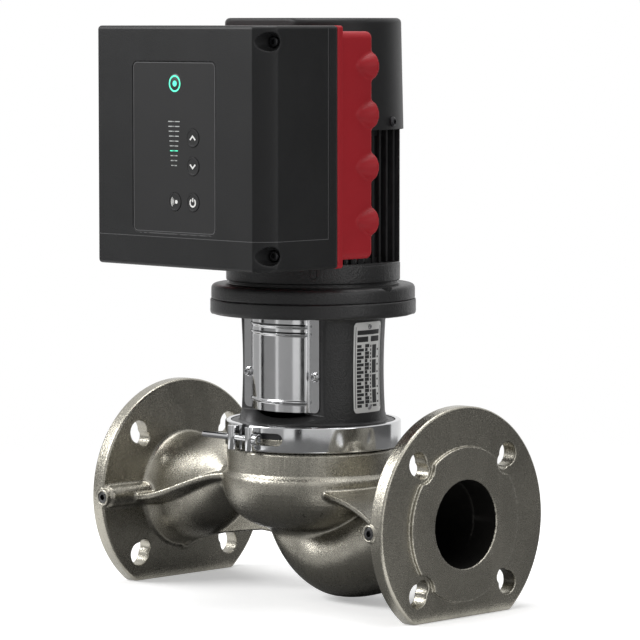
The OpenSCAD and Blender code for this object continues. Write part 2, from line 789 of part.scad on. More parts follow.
module clamp_bolt() {
    color(polished) on_shaft() translate([0, barrel_y, split_h]) rotate([0, 90, 0]) {
        translate([0, 0, -50]) cylinder(d = clamp_bolt_d, h = 50 + barrel_right + barrel_r + 1);
        translate([0, 0, barrel_right + barrel_r]) difference() {
            cylinder(d = clamp_bolt_d + 4, h = clamp_bolt_d);
            translate([0, 0, 2.5]) cylinder(d = clamp_bolt_d * 0.95, h = clamp_bolt_d, $fn = 6);
        }
    }
}

// Sheet guard over one window: a bulge round the coupling between two flat strips
module guard_sheet() {
    edge = sqrt(guard_r * guard_r - bulge_half * bulge_half);
    bead_half = 30;
    translate([0, 0, guard_low]) linear_extrude(guard_h) {
        intersection() {
            difference() {
                circle(guard_r);
                circle(guard_r - guard_t);
            }
            translate([-bulge_half, -guard_r - 1]) square([2 * bulge_half, guard_r - stool_flat + 1]);
        }
        for (side = ends) scale([side, 1]) {
            translate([bulge_half - guard_t, -edge - 0.2]) square([guard_t, edge - stool_flat + 0.2]);
            translate([bulge_half - guard_t, -stool_flat - guard_t])
                square([guard_half - bulge_half + guard_t, guard_t]);
        }
    }
    // Pressed beads
    for (z = guard_beads)
        translate([0, 0, guard_low + z]) rotate([0, 0, -90 - bead_half]) rotate_extrude(angle = 2 * bead_half)
            polygon([[guard_r - 0.4, -2], [guard_r + 0.9, -0.8], [guard_r + 0.9, 0.8], [guard_r - 0.4, 2]]);
}

module coupling_guard(turn) {
    corner_cut = 5;
    color(polished) on_shaft() rotate([0, 0, turn]) difference() {
        guard_sheet();
        for (x = ends) scale([x, 1, 1]) {
            from_front(-guard_r - 2, -stool_flat + 1)
                polygon([[guard_half + 1, guard_low - 1], [guard_half + 1, guard_low + corner_cut],
                         [guard_half - corner_cut, guard_low - 1]]);
            translate([guard_screw_x, 0, guard_screw_z]) along_y(5, -stool_flat - 3, -stool_flat + 1);
        }
    }
}
module front_coupling_guard() coupling_guard(0);
module rear_coupling_guard() coupling_guard(180);

module guard_screws() color(zinc) on_shaft()
    for (side = ends, x = ends) scale([1, side, 1])
        translate([x * guard_screw_x, 0, guard_screw_z]) difference() {
            union() {
                along_y(guard_screw_d, -stool_flat - guard_t - 3, -stool_flat - guard_t);
                along_y(4.7, -stool_flat - guard_t - 1, -stool_flat + 8);
            }
            translate([0, -stool_flat - guard_t - 1.4, 0]) rotate([90, 0, 0])
                cylinder(d = 4, h = 4, $fn = 6);
        }

// Coupling

module coupling_half(side) {
    r = coupling_d / 2;
    screw_x = r - 8.5;
    color("#6f7275") on_shaft() scale([1, side, 1]) difference() {
        turned([
            [0, coupling_z], [r - 1.5, coupling_z], [r, coupling_z + 1.5],
            [r, coupling_z + coupling_h - 1.5], [r - 1.5, coupling_z + coupling_h],
            [0, coupling_z + coupling_h]
        ]);
        translate([-r - 1, -muff_gap / 2, coupling_z - 1]) cube([2 * r + 2, 2 * r, coupling_h + 2]);
        translate([0, 0, coupling_z - 1]) cylinder(d = pump_shaft_d + 0.02, h = coupling_h);
        translate([0, 0, shaft_joint]) cylinder(d = motor_shaft_d + 0.02, h = coupling_h);
        // The front half has counterbored holes, and the rear half threads
        for (x = ends, z = coupling_screw_levels) translate([x * screw_x, 0, z]) {
            along_y(side > 0 ? 6.2 : 6.02, side > 0 ? -r - 1 : -15, 1);
            if (side > 0) along_y(10.4, -r - 1, -8);
        }
    }
}
coupling_screw_levels = [coupling_z + 11, coupling_z + coupling_h - 11];
module front_coupling_half() coupling_half(1);
module rear_coupling_half() coupling_half(-1);

module coupling_screws() {
    x_place = coupling_d / 2 - 8.5;
    color(black_metal) on_shaft() for (x = ends, z = coupling_screw_levels)
        translate([x * x_place, 0, z]) difference() {
            union() {
                along_y(6, -9, 14);
                along_y(10, -14, -8.02);
            }
            translate([0, -11, 0]) rotate([90, 0, 0]) cylinder(d = 5.6, h = 6, $fn = 6);
        }
}

// Motor

// Outline of a slot that is round below and open above
module slot_form(width) {
    circle(d = width);
    translate([-width / 2, 0]) square([width, 2 * width]);
}

module motor_end_shield() {
    rim = motor_flange_d / 2;
    top = stator_z;
    hub_r = low_bearing[1] / 2;
    hub_low = low_bearing_z - 3;
    spigot_r = stool_bore_d / 2 - 0.15;
    bearing_top = low_bearing_z + low_bearing[2];
    color(coated_metal) on_shaft() difference() {
        turned([
            [motor_shaft_d / 2 + 2, motor_z - 4], [spigot_r, motor_z - 4], [spigot_r, motor_z],
            [rim - 1, motor_z], [rim, motor_z + 1], [rim, motor_z + motor_flange_t - 3.5],
            [rim - 1, motor_z + motor_flange_t - 1], [rim - 3.5, motor_z + motor_flange_t],
            [shield_d / 2 - 2.5, motor_z + motor_flange_t], [shield_d / 2 - 2.5, shield_z],
            [shield_d / 2, shield_z], [shield_d / 2, top - 1.5],
            [shield_d / 2 - 0.8, top - 1.5], [shield_d / 2 - 0.8, top], [barrel_d / 2 - 9, top],
            [barrel_d / 2 - 9, motor_z + 6], [hub_r + 6, motor_z + 6], [hub_r + 5, bearing_top],
            [hub_r + 0.01, bearing_top], [hub_r + 0.01, low_bearing_z], [hub_r - 4, low_bearing_z],
            [hub_r - 4, hub_low], [motor_shaft_d / 2 + 2, hub_low]
        ]);
        for (a = [45 : 90 : 315]) rotate(a)
            translate([bolt_seat_r, 0, motor_z - 1]) cylinder(d = 7.9, h = motor_flange_t - 1.5);
        // Drain notches in the rim of the flange
        for (a = [2, 182]) rotate(a) translate([rim - 5.5, 0, motor_z + motor_flange_t])
            rotate([90, 0, 90]) linear_extrude(8)
                polygon([[-8, 1], [-2.6, -2.8], [0, -3.4], [2.6, -2.8], [8, 1]]);
        // Groove round a tongue in the ring under the control box
        rotate(-44.7) translate([shield_d / 2 - 1.2, 0, shield_z + 7.3]) rotate([90, 0, 90])
            linear_extrude(3) difference() {
                slot_form(6.5);
                slot_form(4.3);
            }
    }
}

module stool_bolts() color(zinc) on_shaft()
    for (a = [45 : 90 : 315]) rotate(a) translate([bolt_seat_r, 0, 0]) difference() {
        union() {
            translate([0, 0, seat_low + 7 - 6]) cylinder(d = 13, h = 6, $fn = 6);
            translate([0, 0, seat_low + 6]) cylinder(d = 7.7, h = seat_t - 6 + motor_flange_t - 4);
        }
        translate([0, 0, seat_low]) cylinder(d = 5, h = 3);
    }

// Outline of the stator housing: a barrel with parallel fins that stand out from its four sides
module fin_outline() {
    reach_r = fin_circle_d / 2;
    circle(d = barrel_d);
    translate([-fin_pitch * 3.6, -front_pad]) square([fin_pitch * 7.2, front_pad]);
    intersection() {
        circle(r = reach_r);
        for (a = [0, 90, 180, 270]) rotate(a)
            for (k = [-fin_count : fin_count])
                translate([barrel_d * 0.25, k * fin_pitch - fin_t / 2])
                    square([fin_reach - barrel_d * 0.25, fin_t]);
    }
}
fin_count = floor(fin_reach * 0.72 / fin_pitch);
end_ring_d = 2 * fin_reach - 1;

module stator_housing() {
    color(black_metal) on_shaft() difference() {
        union() {
            translate([0, 0, stator_z]) linear_extrude(stator_h) fin_outline();
            // Rings at both ends, where the end shields bolt on
            tube(end_ring_d, barrel_d - 12, stator_z, stator_z + 4);
            tube(end_ring_d, barrel_d - 12, cowl_z - 5, cowl_z);
        }
        translate([0, 0, stator_z - 1]) cylinder(d = stator_core_d + 0.4, h = stator_h + 2);
        // Wire passage into the control box
        translate([0, 0, core_z + core_h + 9]) along_y(16, -front_pad - 1, -stator_core_d / 4);
    }
}

module stator_core() color("#6c6e70") on_shaft() difference() {
    tube(stator_core_d, rotor_d + 1, core_z, core_z + core_h);
    for (k = [0 : 11]) rotate(30 * k) translate([rotor_d / 2 + 9, 0, core_z - 1])
        cylinder(d = 8, h = core_h + 2);
}

module stator_windings() {
    head_r = rotor_d / 2 + 9;
    color(copper) on_shaft() {
        for (k = [0 : 11]) rotate(30 * k)
            translate([head_r, 0, core_z - 1]) cylinder(d = 7.4, h = core_h + 2);
        for (z = [core_z - 7, core_z + core_h + 7]) translate([0, 0, z]) rotate_extrude()
            translate([head_r, 0]) circle(d = 13);
    }
}

module rotor_core() color("#5b5d60") on_shaft()
    tube(rotor_d, motor_shaft_d + 8.02, core_z, core_z + core_h);

module motor_shaft() {
    r = motor_shaft_d / 2;
    low_r = low_bearing[0] / 2;
    high_r = high_bearing[0] / 2;
    low_top = low_bearing_z + low_bearing[2];
    high_top = high_bearing_z + high_bearing[2];
    color(shaft_metal) on_shaft() turned([
        [0, shaft_joint + 0.5], [r - 1, shaft_joint + 0.5], [r, shaft_joint + 1.5], [r, low_bearing_z],
        [low_r, low_bearing_z], [low_r, low_top], [r + 4, low_top], [r + 4, high_bearing_z - 4],
        [high_r + 2, high_bearing_z - 4], [high_r + 2, high_bearing_z], [high_r, high_bearing_z],
        [high_r, high_top], [high_r - 0.5, high_top], [high_r - 0.5, fan_z + 30], [0, fan_z + 30]
    ]);
}

// Deep-groove bearings: bore, outside diameter and width in one list
function race_depth(b) = (b[1] - b[0]) / 2;
module outer_race(b, z) difference() {
    tube(b[1], b[1] - race_depth(b) * 0.5, z, z + b[2]);
    rotate_extrude() translate([(b[0] + b[1]) / 4, z + b[2] / 2]) circle(d = race_depth(b) * 0.62);
}
module inner_race(b, z) difference() {
    tube(b[0] + race_depth(b) * 0.5, b[0] + 0.02, z, z + b[2]);
    rotate_extrude() translate([(b[0] + b[1]) / 4, z + b[2] / 2]) circle(d = race_depth(b) * 0.62);
}
ball_count = 9;
module race_balls(b, z) for (k = [0 : ball_count - 1]) rotate(360 * k / ball_count)
    translate([(b[0] + b[1]) / 4, 0, z + b[2] / 2]) sphere(d = race_depth(b) * 0.6);

module bearing_outer_rings() color(zinc) on_shaft() {
    outer_race(low_bearing, low_bearing_z);
    outer_race(high_bearing, high_bearing_z);
}
module bearing_inner_rings() color(zinc) on_shaft() {
    inner_race(low_bearing, low_bearing_z);
    inner_race(high_bearing, high_bearing_z);
}
module lower_bearing_balls() color(polished) on_shaft() race_balls(low_bearing, low_bearing_z);
module upper_bearing_balls() color(polished) on_shaft() race_balls(high_bearing, high_bearing_z);

// Upper end shield, with lugs for the fan cover
lug_r = cowl_d / 2 - cowl_wall - 0.8;
module fan_end_shield() {
    seat_r = high_bearing[1] / 2;
    seat_top = high_bearing_z + high_bearing[2];
    lug_h = 2 * (cowl_screw_z - cowl_z);
    color(black_metal) on_shaft() difference() {
        union() {
            turned([
                [seat_r - 4, seat_top + 2], [seat_r - 4, seat_top], [seat_r + 0.01, seat_top],
                [seat_r + 0.01, high_bearing_z], [seat_r + 5, high_bearing_z], [seat_r + 5, cowl_z],
                [barrel_d / 2, cowl_z], [barrel_d / 2, cowl_z + cap_t], [seat_r + 6, cowl_z + cap_t],
                [seat_r + 4, seat_top + 2]
            ]);
            intersection() {
                for (k = [0 : 3]) rotate(cowl_screw_a + 90 * k)
                    translate([barrel_d / 2 - 6, -6, cowl_z]) cube([lug_r, 12, lug_h]);
                turned([[0, cowl_z], [lug_r, cowl_z], [lug_r - 0.4, cowl_z + lug_h], [0, cowl_z + lug_h]]);
                translate([-cowl_d, -front_pad + cowl_wall + 0.8, cowl_z])
                    cube([2 * cowl_d, 2 * cowl_d, cowl_h]);
            }
        }
        for (k = [0 : 3]) rotate(cowl_screw_a + 90 * k) translate([0, 0, cowl_screw_z]) rotate([0, 90, 0])
            translate([0, 0, barrel_d / 2 - 2]) cylinder(d = 4, h = 20);
    }
}

module fan() {
    hub = high_bearing[0] / 2 - 0.5;
    color(black_plastic) on_shaft() difference() {
        union() {
            tube(2 * hub + 16, 2 * hub, fan_z, fan_z + 24);
            translate([0, 0, fan_z]) tube(fan_d - 14, 2 * hub, 0, 2.5);
            for (k = [0 : fan_blades - 1]) rotate(360 * k / fan_blades)
                translate([hub + 5, -1, fan_z]) cube([fan_d / 2 - hub - 5, 2, 24]);
        }
        translate([0, 0, fan_z - 1]) cylinder(d = 2 * hub + 0.02, h = 30);
    }
}

// Fan cover: a tapering cowl with a flat front, a rounded top edge and a slotted grille
module cowl_body(inset) {
    low_r = cowl_d / 2 - inset;
    top_r = cowl_top_d / 2 - inset;
    round_r = 4;
    top = cowl_top - inset;
    low = inset > 0 ? cowl_z - 1 : cowl_z;
    intersection() {
        turned(concat(
            [[0, low], [low_r, low]],
            arc(top_r - round_r, top - round_r, round_r, round_r, 0, 90, 4),
            [[0, top]]
        ));
        translate([-cowl_d, -front_pad + front_gap + inset, 0])
            cube([2 * cowl_d, 2 * cowl_d, 2 * cowl_top]);
    }
}

grille_slots = 30;
module fan_cover() {
    slot_w = 4;
    hub_r = 17;
    color(black_plastic) on_shaft() difference() {
        cowl_body(0);
        cowl_body(cowl_wall);
        for (k = [0 : grille_slots - 1]) rotate(360 * k / grille_slots)
            translate([k % 2 == 0 ? hub_r : hub_r + 14, -slot_w / 2, cowl_top - 8])
                cube([cowl_top_d / 2 - 16 - (k % 2 == 0 ? hub_r : hub_r + 14), slot_w, 20]);
        for (k = [0 : 3]) rotate(cowl_screw_a + 90 * k) translate([0, 0, cowl_screw_z]) rotate([0, 90, 0])
            cylinder(d = 4.4, h = cowl_d);
    }
}

module fan_cover_screws() {
    head = cowl_d / 2 - 0.1;
    color(black_metal) on_shaft() for (k = [0, 1, 2]) rotate(cowl_screw_a + 90 * k)
        translate([0, 0, cowl_screw_z]) rotate([0, 90, 0]) difference() {
            union() {
                translate([0, 0, barrel_d / 2]) cylinder(d = 3.8, h = head - barrel_d / 2);
                translate([0, 0, head]) cylinder(d = 8, h = 2.6);
            }
            translate([0, 0, head + 1.2]) cylinder(d = 4, h = 3, $fn = 6);
        }
}

// Control box

// Plan of the box cover: flat front and bevelled side edges
module cover_plan(inset) {
    half = cover_w / 2 - inset;
    front = cover_front - inset;
    // A bevel that is only a third as full as an elliptic corner
    points = [
        for (p = arc(half - cover_bevel_w, -front + cover_bevel_d, cover_bevel_w, cover_bevel_d, 0, -90, 8))
            let (
                along = (p.x - half + cover_bevel_w) / cover_bevel_w,
                flat_y = mix(-front, -front + cover_bevel_d, along)
            )
            [p.x, mix(flat_y, p.y, 0.35)]
    ];
    mirrored = [for (i = [len(points) - 1 : -1 : 0]) [-points[i][0], points[i][1]]];
    polygon(concat([[-half, -cover_rear], [half, -cover_rear]], points, mirrored));
}

// The cover's outer or inner form, with small rounds along its top and bottom front edges
module cover_form(inset) {
    low = box_z + inset;
    high = box_z + cover_h - inset;
    edge = 4;
    front = -cover_front + inset;
    intersection() {
        translate([0, 0, low]) linear_extrude(high - low) cover_plan(inset);
        rotate([90, 0, 90]) translate([0, 0, -cover_w]) linear_extrude(2 * cover_w) polygon(concat(
            [[0, low], [0, high]],
            arc(front + edge, high - edge, edge, edge, 90, 180, 4),
            arc(front + edge, low + edge, edge, edge, 180, 270, 4)
        ));
        from_front(-cover_front - 1, 0) translate([0, box_mid])
            round_rect(cover_w - 2 * inset, high - low, corner_r);
    }
}

module at_recesses(out = 0)
    for (x = ends, z = ends) translate([x * (recess_x + out), 0, box_mid + z * recess_z]) children();

// Fine groove across the front below the panel, round the bevels and up both sides
module cover_groove() {
    difference() {
        union() {
            translate([-cover_w, -2 * cover_front, groove_z])
                cube([2 * cover_w, 2 * cover_front - groove_y, groove_w]);
            translate([-cover_w, -groove_y - groove_w, groove_z])
                cube([2 * cover_w, groove_w, groove_end - groove_z]);
        }
        cover_form(groove_t);
    }
}

module box_cover() {
    color(black_plastic) on_shaft() difference() {
        union() {
            difference() {
                cover_form(0);
                difference() {
                    cover_form(cover_wall);
                    // Screw posts in the corners
                    at_recesses() along_y(post_d, -cover_front, 0);
                }
                translate([-cover_w, -cover_rear, box_z]) cube([2 * cover_w, cover_rear, cover_h]);
            }
            // Posts that hold the circuit board
            for (x = ends, z = ends) translate([x * (panel_w / 2 - 5), 0, panel_z + z * (panel_h / 2 - 6)])
                along_y(7, -cover_front + 1, -board_y);
        }
        // Round pockets that break through the sides, the bores behind them and the screw holes
        at_recesses(pocket_out) {
            along_y(recess_d, -cover_front - 1, -pocket_floor);
            translate([0, -pocket_floor, 0]) sphere(d = recess_d);
        }
        at_recesses() {
            along_y(recess_bore_d, -cover_front - 1, -recess_floor);
            along_y(4.6, -cover_front - 1, -cover_rear + 1);
        }
        cover_groove();
        // Recess for the panel and the openings behind its keys and lights
        from_front(-cover_front - 1, -panel_face + panel_t) translate([0, panel_z])
            round_rect(panel_w + 0.4, panel_h + 0.4, 5);
        for (k = keys) translate([k[1], 0, panel_z + k[2]])
            along_y(key_d + 2 * key_gap, -cover_front - 1, -cover_front + 12);
        translate([1, 0, panel_z + status_z]) along_y(status_d - 2, -cover_front - 1, -cover_front + 12);
        from_front(-cover_front - 1, -cover_front + 12)
            translate([0, panel_z + level_top - level_pitch * (level_count - 1) / 2])
            square([level_w, level_pitch * level_count], center = true);
    }
}

module box_screws() color(black_metal) on_shaft() at_recesses() difference() {
    union() {
        along_y(8, -recess_floor - 4.5, -recess_floor);
        along_y(4.2, -recess_floor - 1, -cover_rear + lip_t + 2);
    }
    translate([0, -recess_floor - 2, 0]) rotate([90, 0, 0]) cylinder(d = 4.6, h = 4, $fn = 6);
}

// Red base between the cover and the motor
module box_base() {
    lip_back = -cover_rear + lip_t;
    wall_y = -front_pad - base_wall;
    well = barrel_d / 2 + 22;
    color(red_plastic) on_shaft() difference() {
        union() {
            from_front(-cover_rear + gasket_t, lip_back) translate([0, box_mid])
                round_rect(cover_w, cover_h, corner_r);
            from_front(lip_back - 0.5, -base_back) translate([0, base_mid]) round_rect(base_w, base_h, 6);
            // Cable entry domes down the right side
            for (z = domes) translate([base_w / 2 - dome_sunk, -base_back, base_mid + z]) dome();
        }
        // Tray that opens to the front, and the deeper wells beside the motor
        from_front(-cover_rear - 1, wall_y) translate([0, base_mid])
            difference() {
                square([base_w - 2 * base_wall, base_h - 2 * base_wall], center = true);
                for (x = ends, z = ends)
                    translate([x * recess_x, box_mid + z * recess_z - base_mid]) circle(d = 11);
            }
        for (x = ends) from_front(wall_y - 1, -base_back - base_wall)
            translate([x * (well + base_w / 2 - base_wall) / 2, base_mid])
            square([base_w / 2 - base_wall - well, base_h - 24], center = true);
        at_recesses() along_y(4.2, -cover_rear - 1, lip_back + 2.5);
        // Room for the motor
        intersection() {
            cylinder(d = cowl_d + 4, h = 3 * cowl_top);
            translate([-cowl_d, -front_pad, 0]) cube([2 * cowl_d, 2 * cowl_d, 3 * cowl_top]);
        }
        // Wire passage from the motor
        translate([0, 0, core_z + core_h + 9]) along_y(16, -cover_rear - 1, -front_pad + 2);
    }
}
gasket_t = 0.8;

// Part of a teardrop that bulges out of the base's side and ends flush with its back
module dome() {
    steps = 7;
    tip = [for (i = [0 : steps]) let (t = i / steps) [dome_r * (1 - pow(t, 1.6)), dome_len * t]];
    intersection() {
        rotate([90, 0, 0]) rotate_extrude() polygon(concat([[0, 0]], tip));
        translate([dome_sunk - 1, -dome_len - 1, -dome_r - 1]) cube([dome_r, dome_len + 1, 2 * dome_r + 2]);
    }
}

module box_gasket() color(rubber) on_shaft()
    from_front(-cover_rear, -cover_rear + gasket_t) translate([0, box_mid]) difference() {
        round_rect(cover_w - 1, cover_h - 1, 2);
        square([base_w - 2 * base_wall - 1, base_h - 2 * base_wall - 1], center = true);
        for (x = ends, z = ends)
            translate([x * recess_x, z * recess_z]) circle(d = 4.6);
    }

// Panel, keys and lights

module level_bars(grow) for (k = [0 : level_count - 1])
    translate([0, panel_z + level_top - k * level_pitch])
        square([mix(level_w, level_min_w, k / (level_count - 1)) + grow, 1.3 + grow], center = true);

module control_panel() color("#3b3c3f") on_shaft() difference() {
    from_front(-panel_face, -panel_face + panel_t) translate([0, panel_z]) round_rect(panel_w, panel_h, 5);
    for (k = keys) translate([k[1], 0, panel_z + k[2]])
        along_y(key_d + 2 * key_gap, -cover_front - 1, -cover_front + 4);
    translate([1, 0, panel_z + status_z]) along_y(status_d + 0.1, -cover_front - 1, -cover_front + 4);
    from_front(-cover_front - 1, -cover_front + 4) level_bars(0.1);
}

// A round key with a collar behind the cover's front wall
module key(place) color("#46474a") on_shaft() translate([place[1], 0, panel_z + place[2]]) {
    along_y(key_d, -panel_face - key_proud, -cover_front + cover_wall + 1.6);
    along_y(key_d + 3, -cover_front + cover_wall + 0.1, -cover_front + cover_wall + 1.6);
}
module key_up() key(keys[0]);
module key_down() key(keys[1]);
module key_radio() key(keys[2]);
module key_power() key(keys[3]);

module status_light() color("#54e0a8") on_shaft() translate([1, 0, panel_z + status_z])
    along_y(status_d, -panel_face, -panel_face + panel_t);

module level_lights() color("#5fcf9f") on_shaft()
    from_front(-panel_face, -panel_face + panel_t) level_bars(0);

module circuit_board() {
    color("#1f6b45") on_shaft() {
        from_front(-board_y, -board_y + board_t) translate([0, panel_z])
            square([panel_w - 2, panel_h - 4], center = true);
        // Switches behind the keys
        for (k = keys) translate([k[1], 0, panel_z + k[2]])
            along_y(5, -cover_front + cover_wall + 1.6 + key_travel + 0.2, -board_y + 0.1);
        // Connectors and a capacitor behind the board
        translate([-30, -board_y + board_t - 0.1, panel_z - 45]) cube([60, 12, 14]);
        for (x = [-26, 0, 26]) translate([x, 0, panel_z + 30])
            along_y(20, -board_y + board_t - 0.1, -board_y + 28);
    }
}

// Plate on the stool's right column
plate_a = 4.5;
plate_half_a = 16;
plate_low = window_low + 1.6;
plate_high = seat_low - 4;
plate_t = 0.6;
plate_rivet_levels = [plate_low + 4, plate_high - 4];
function body_r(z) = waist_points(0, z, z + 1, 1)[0].x;
module name_plate() {
    outer = waist_points(plate_t + 0.05, plate_low, plate_high, 5);
    inner = waist_points(0.05, plate_low, plate_high, 5);
    color("#b9bbb8") on_shaft() difference() {
        rotate(plate_a - plate_half_a) rotate_extrude(angle = 2 * plate_half_a)
            polygon(concat(outer, [for (i = [len(inner) - 1 : -1 : 0]) inner[i]]));
        for (z = plate_rivet_levels) rotate(plate_a) translate([0, 0, z]) rotate([0, 90, 0])
            cylinder(d = 2.3, h = stool_d);
    }
}

module plate_rivets() color(zinc) on_shaft()
    for (z = plate_rivet_levels) rotate(plate_a) translate([body_r(z) + 0.05, 0, z]) rotate([0, 90, 0]) {
        translate([0, 0, -7]) cylinder(d = 2, h = 7.5 + plate_t);
        translate([0, 0, plate_t + 0.25]) cylinder(d1 = 4.2, d2 = 3, h = 0.8);
    }

pump_housing();
inlet_tapping_plug();
outlet_tapping_plug();
neck_ring();
impeller();
impeller_nut();
pump_shaft();
seal_rotating_part();
seal_seat();
seal_cover();
casing_o_ring();
motor_stool();
clamp_band();
clamp_bolt();
clamp_barrels();
front_coupling_guard();
rear_coupling_guard();
guard_screws();
front_coupling_half();
rear_coupling_half();
coupling_screws();
motor_end_shield();
stool_bolts();
stator_housing();
stator_core();
stator_windings();
rotor_core();
motor_shaft();
bearing_outer_rings();
lower_bearing_balls();
upper_bearing_balls();
bearing_inner_rings();
fan_end_shield();
fan();
fan_cover();
fan_cover_screws();
box_base();
box_gasket();
box_cover();
box_screws();
control_panel();
key_up();
key_down();
key_radio();
key_power();
status_light();
level_lights();
circuit_board();
name_plate();
plate_rivets();
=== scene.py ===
"""Looks of the inline centrifugal pump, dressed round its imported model.

Lengths are millimetres inside the classes and become metres where a mesh is made. Shapes are drawn round the
shaft axis: X runs along the pipe, the control box faces -Y and Z is up, with z = 0 on the pipe's axis.
"""

import json
import logging
import math
from dataclasses import dataclass
from enum import Enum
from typing import Callable, Iterable, Sequence

import bmesh
import bpy
import numpy as np
from mathutils import Matrix, Vector


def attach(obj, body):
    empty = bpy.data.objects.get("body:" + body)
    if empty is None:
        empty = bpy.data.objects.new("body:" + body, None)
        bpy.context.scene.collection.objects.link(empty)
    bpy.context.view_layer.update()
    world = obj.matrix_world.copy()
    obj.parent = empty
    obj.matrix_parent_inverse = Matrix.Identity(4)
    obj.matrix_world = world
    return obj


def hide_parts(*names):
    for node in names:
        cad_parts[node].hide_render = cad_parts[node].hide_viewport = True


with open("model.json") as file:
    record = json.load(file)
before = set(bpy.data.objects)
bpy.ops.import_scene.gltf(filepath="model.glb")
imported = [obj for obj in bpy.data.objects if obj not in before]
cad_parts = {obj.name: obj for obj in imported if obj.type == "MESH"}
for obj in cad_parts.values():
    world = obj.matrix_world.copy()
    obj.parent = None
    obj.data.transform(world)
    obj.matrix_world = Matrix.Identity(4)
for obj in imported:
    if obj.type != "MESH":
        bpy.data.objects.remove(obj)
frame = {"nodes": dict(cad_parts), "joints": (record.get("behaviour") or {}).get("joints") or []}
for startup_object in ("Cube", "Light", "Camera"):
    if startup_object in bpy.data.objects:
        bpy.data.objects.remove(bpy.data.objects[startup_object])
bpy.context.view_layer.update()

MM = 0.001
SHAFT_X = next(j for j in frame["joints"] if j["name"] == "rotor_spin")["pos_m"][0] / MM

Points = np.ndarray
Distance = Callable[[Points], np.ndarray]
Share = float | np.ndarray
Pair = tuple[float, float]
Triple = tuple[float, float, float]

log = logging.getLogger("pump")


class Body(Enum):
    """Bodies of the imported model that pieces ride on."""

    ROOT = "root"
    KEY_UP = "key_up_cap"
    KEY_DOWN = "key_down_cap"
    KEY_RADIO = "key_radio_cap"
    KEY_POWER = "key_power_cap"


# Plain maths


def mix(a: float, b: float, t: Share) -> Share:
    """Return the value a share t of the way from a to b."""
    return a + (b - a) * t


def ease(t: Share) -> Share:
    """Return t with a slow start and a slow end."""
    return t * t * (3 - 2 * t)


def arc(centre: Pair, radii: Pair, start: float, end: float, steps: int) -> list[Pair]:
    """Return points along an elliptic arc.

    Args:
        centre: Centre of the ellipse.
        radii: Its two half axes.
        start: First angle in degrees.
        end: Last angle in degrees.
        steps: Number of chords.

    Returns:
        steps + 1 points.
    """
    angles = [math.radians(mix(start, end, i / steps)) for i in range(steps + 1)]
    return [(centre[0] + radii[0] * math.cos(a), centre[1] + radii[1] * math.sin(a)) for a in angles]


def rounded(corners: Sequence[Pair], radii: Sequence[float], steps: int = 5,
            closed: bool = True) -> list[Pair]:
    """Return an outline with its corners rounded.

    Args:
        corners: Corners of the outline, in order.
        radii: Rounding radius at each corner, zero for a sharp one.
        steps: Chords per corner.
        closed: Whether the last corner joins the first one; if not, both stay as they are.

    Returns:
        The outline's points.
    """
    points: list[Pair] = []
    for i, (corner, radius) in enumerate(zip(corners, radii)):
        here = Vector(corner)
        before = Vector(corners[i - 1]) - here
        after = Vector(corners[(i + 1) % len(corners)]) - here
        at_end = not closed and i in (0, len(corners) - 1)
        if radius <= 0 or at_end or before.length < 1e-6 or after.length < 1e-6:
            points.append(corner)
            continue
        half = before.angle(after) / 2
        reach = min(radius / math.tan(half), 0.48 * before.length, 0.48 * after.length)
        first = here + before.normalized() * reach
        last = here + after.normalized() * reach
        for k in range(steps + 1):
            t = k / steps
            point = first * (1 - t) ** 2 + here * 2 * t * (1 - t) + last * t**2
            points.append((point.x, point.y))
    return points


def polygon(radii: Sequence[float], sides: int) -> list[Pair]:
    """Return a regular polygon, or a star whose corners take the radii in turn."""
    corners = [(radii[k % len(radii)], math.radians(360 / sides * k)) for k in range(sides)]
    return [(r * math.cos(a), r * math.sin(a)) for r, a in corners]


def pin(radius: float, low: float, high: float) -> list[Pair]:
    """Return the outline of a plain round pin, for turning."""
    return [(0, low), (radius, low), (radius, high), (0, high)]

# Distance fields: negative inside a solid, in millimetres


def union(a: np.ndarray, b: np.ndarray, blend: float = 0.0) -> np.ndarray:
    """Join two solids with a fillet of about the blend's size."""
    if blend <= 0:
        return np.minimum(a, b)
    h = np.clip(0.5 + 0.5 * (b - a) / blend, 0, 1)
    return b + (a - b) * h - blend * h * (1 - h)


def cut(a: np.ndarray, b: np.ndarray, blend: float = 0.0) -> np.ndarray:
    """Take solid b out of solid a and round the new edges by the blend."""
    return -union(-a, b, blend)


def both(a: np.ndarray, b: np.ndarray, rounding: float = 0.0) -> np.ndarray:
    """Keep what lies in both solids, with a rounded edge where their faces meet."""
    if rounding <= 0:
        return np.maximum(a, b)
    u, v = a + rounding, b + rounding
    outside = np.hypot(np.maximum(u, 0), np.maximum(v, 0))
    return np.minimum(np.maximum(u, v), 0) + outside - rounding


def outline_distance(u: np.ndarray, v: np.ndarray, outline: Sequence[Pair]) -> np.ndarray:
    """Return the distance to a closed outline in a plane, negative inside it."""
    best = np.full(u.shape, 1e9, np.float32)
    sign = np.ones(u.shape, np.float32)
    for i, (ax, ay) in enumerate(outline):
        bx, by = outline[i - 1]
        ex, ey = bx - ax, by - ay
        length = ex * ex + ey * ey
        if length < 1e-9:
            continue
        wx, wy = u - ax, v - ay
        t = np.clip((wx * ex + wy * ey) / length, 0, 1)
        best = np.minimum(best, (wx - ex * t) ** 2 + (wy - ey * t) ** 2)
        above, below = v >= ay, v < by
        left = ex * wy > ey * wx
        flip = (above & below & left) | (~above & ~below & ~left)
        sign = np.where(flip, -sign, sign)
    return sign * np.sqrt(best)


def lathe_distance(p: Points, outline: Sequence[Pair]) -> np.ndarray:
    """Return the distance to an outline of radius and height turned round the shaft axis."""
    return outline_distance(np.hypot(p[:, 0], p[:, 1]), p[:, 2], outline)


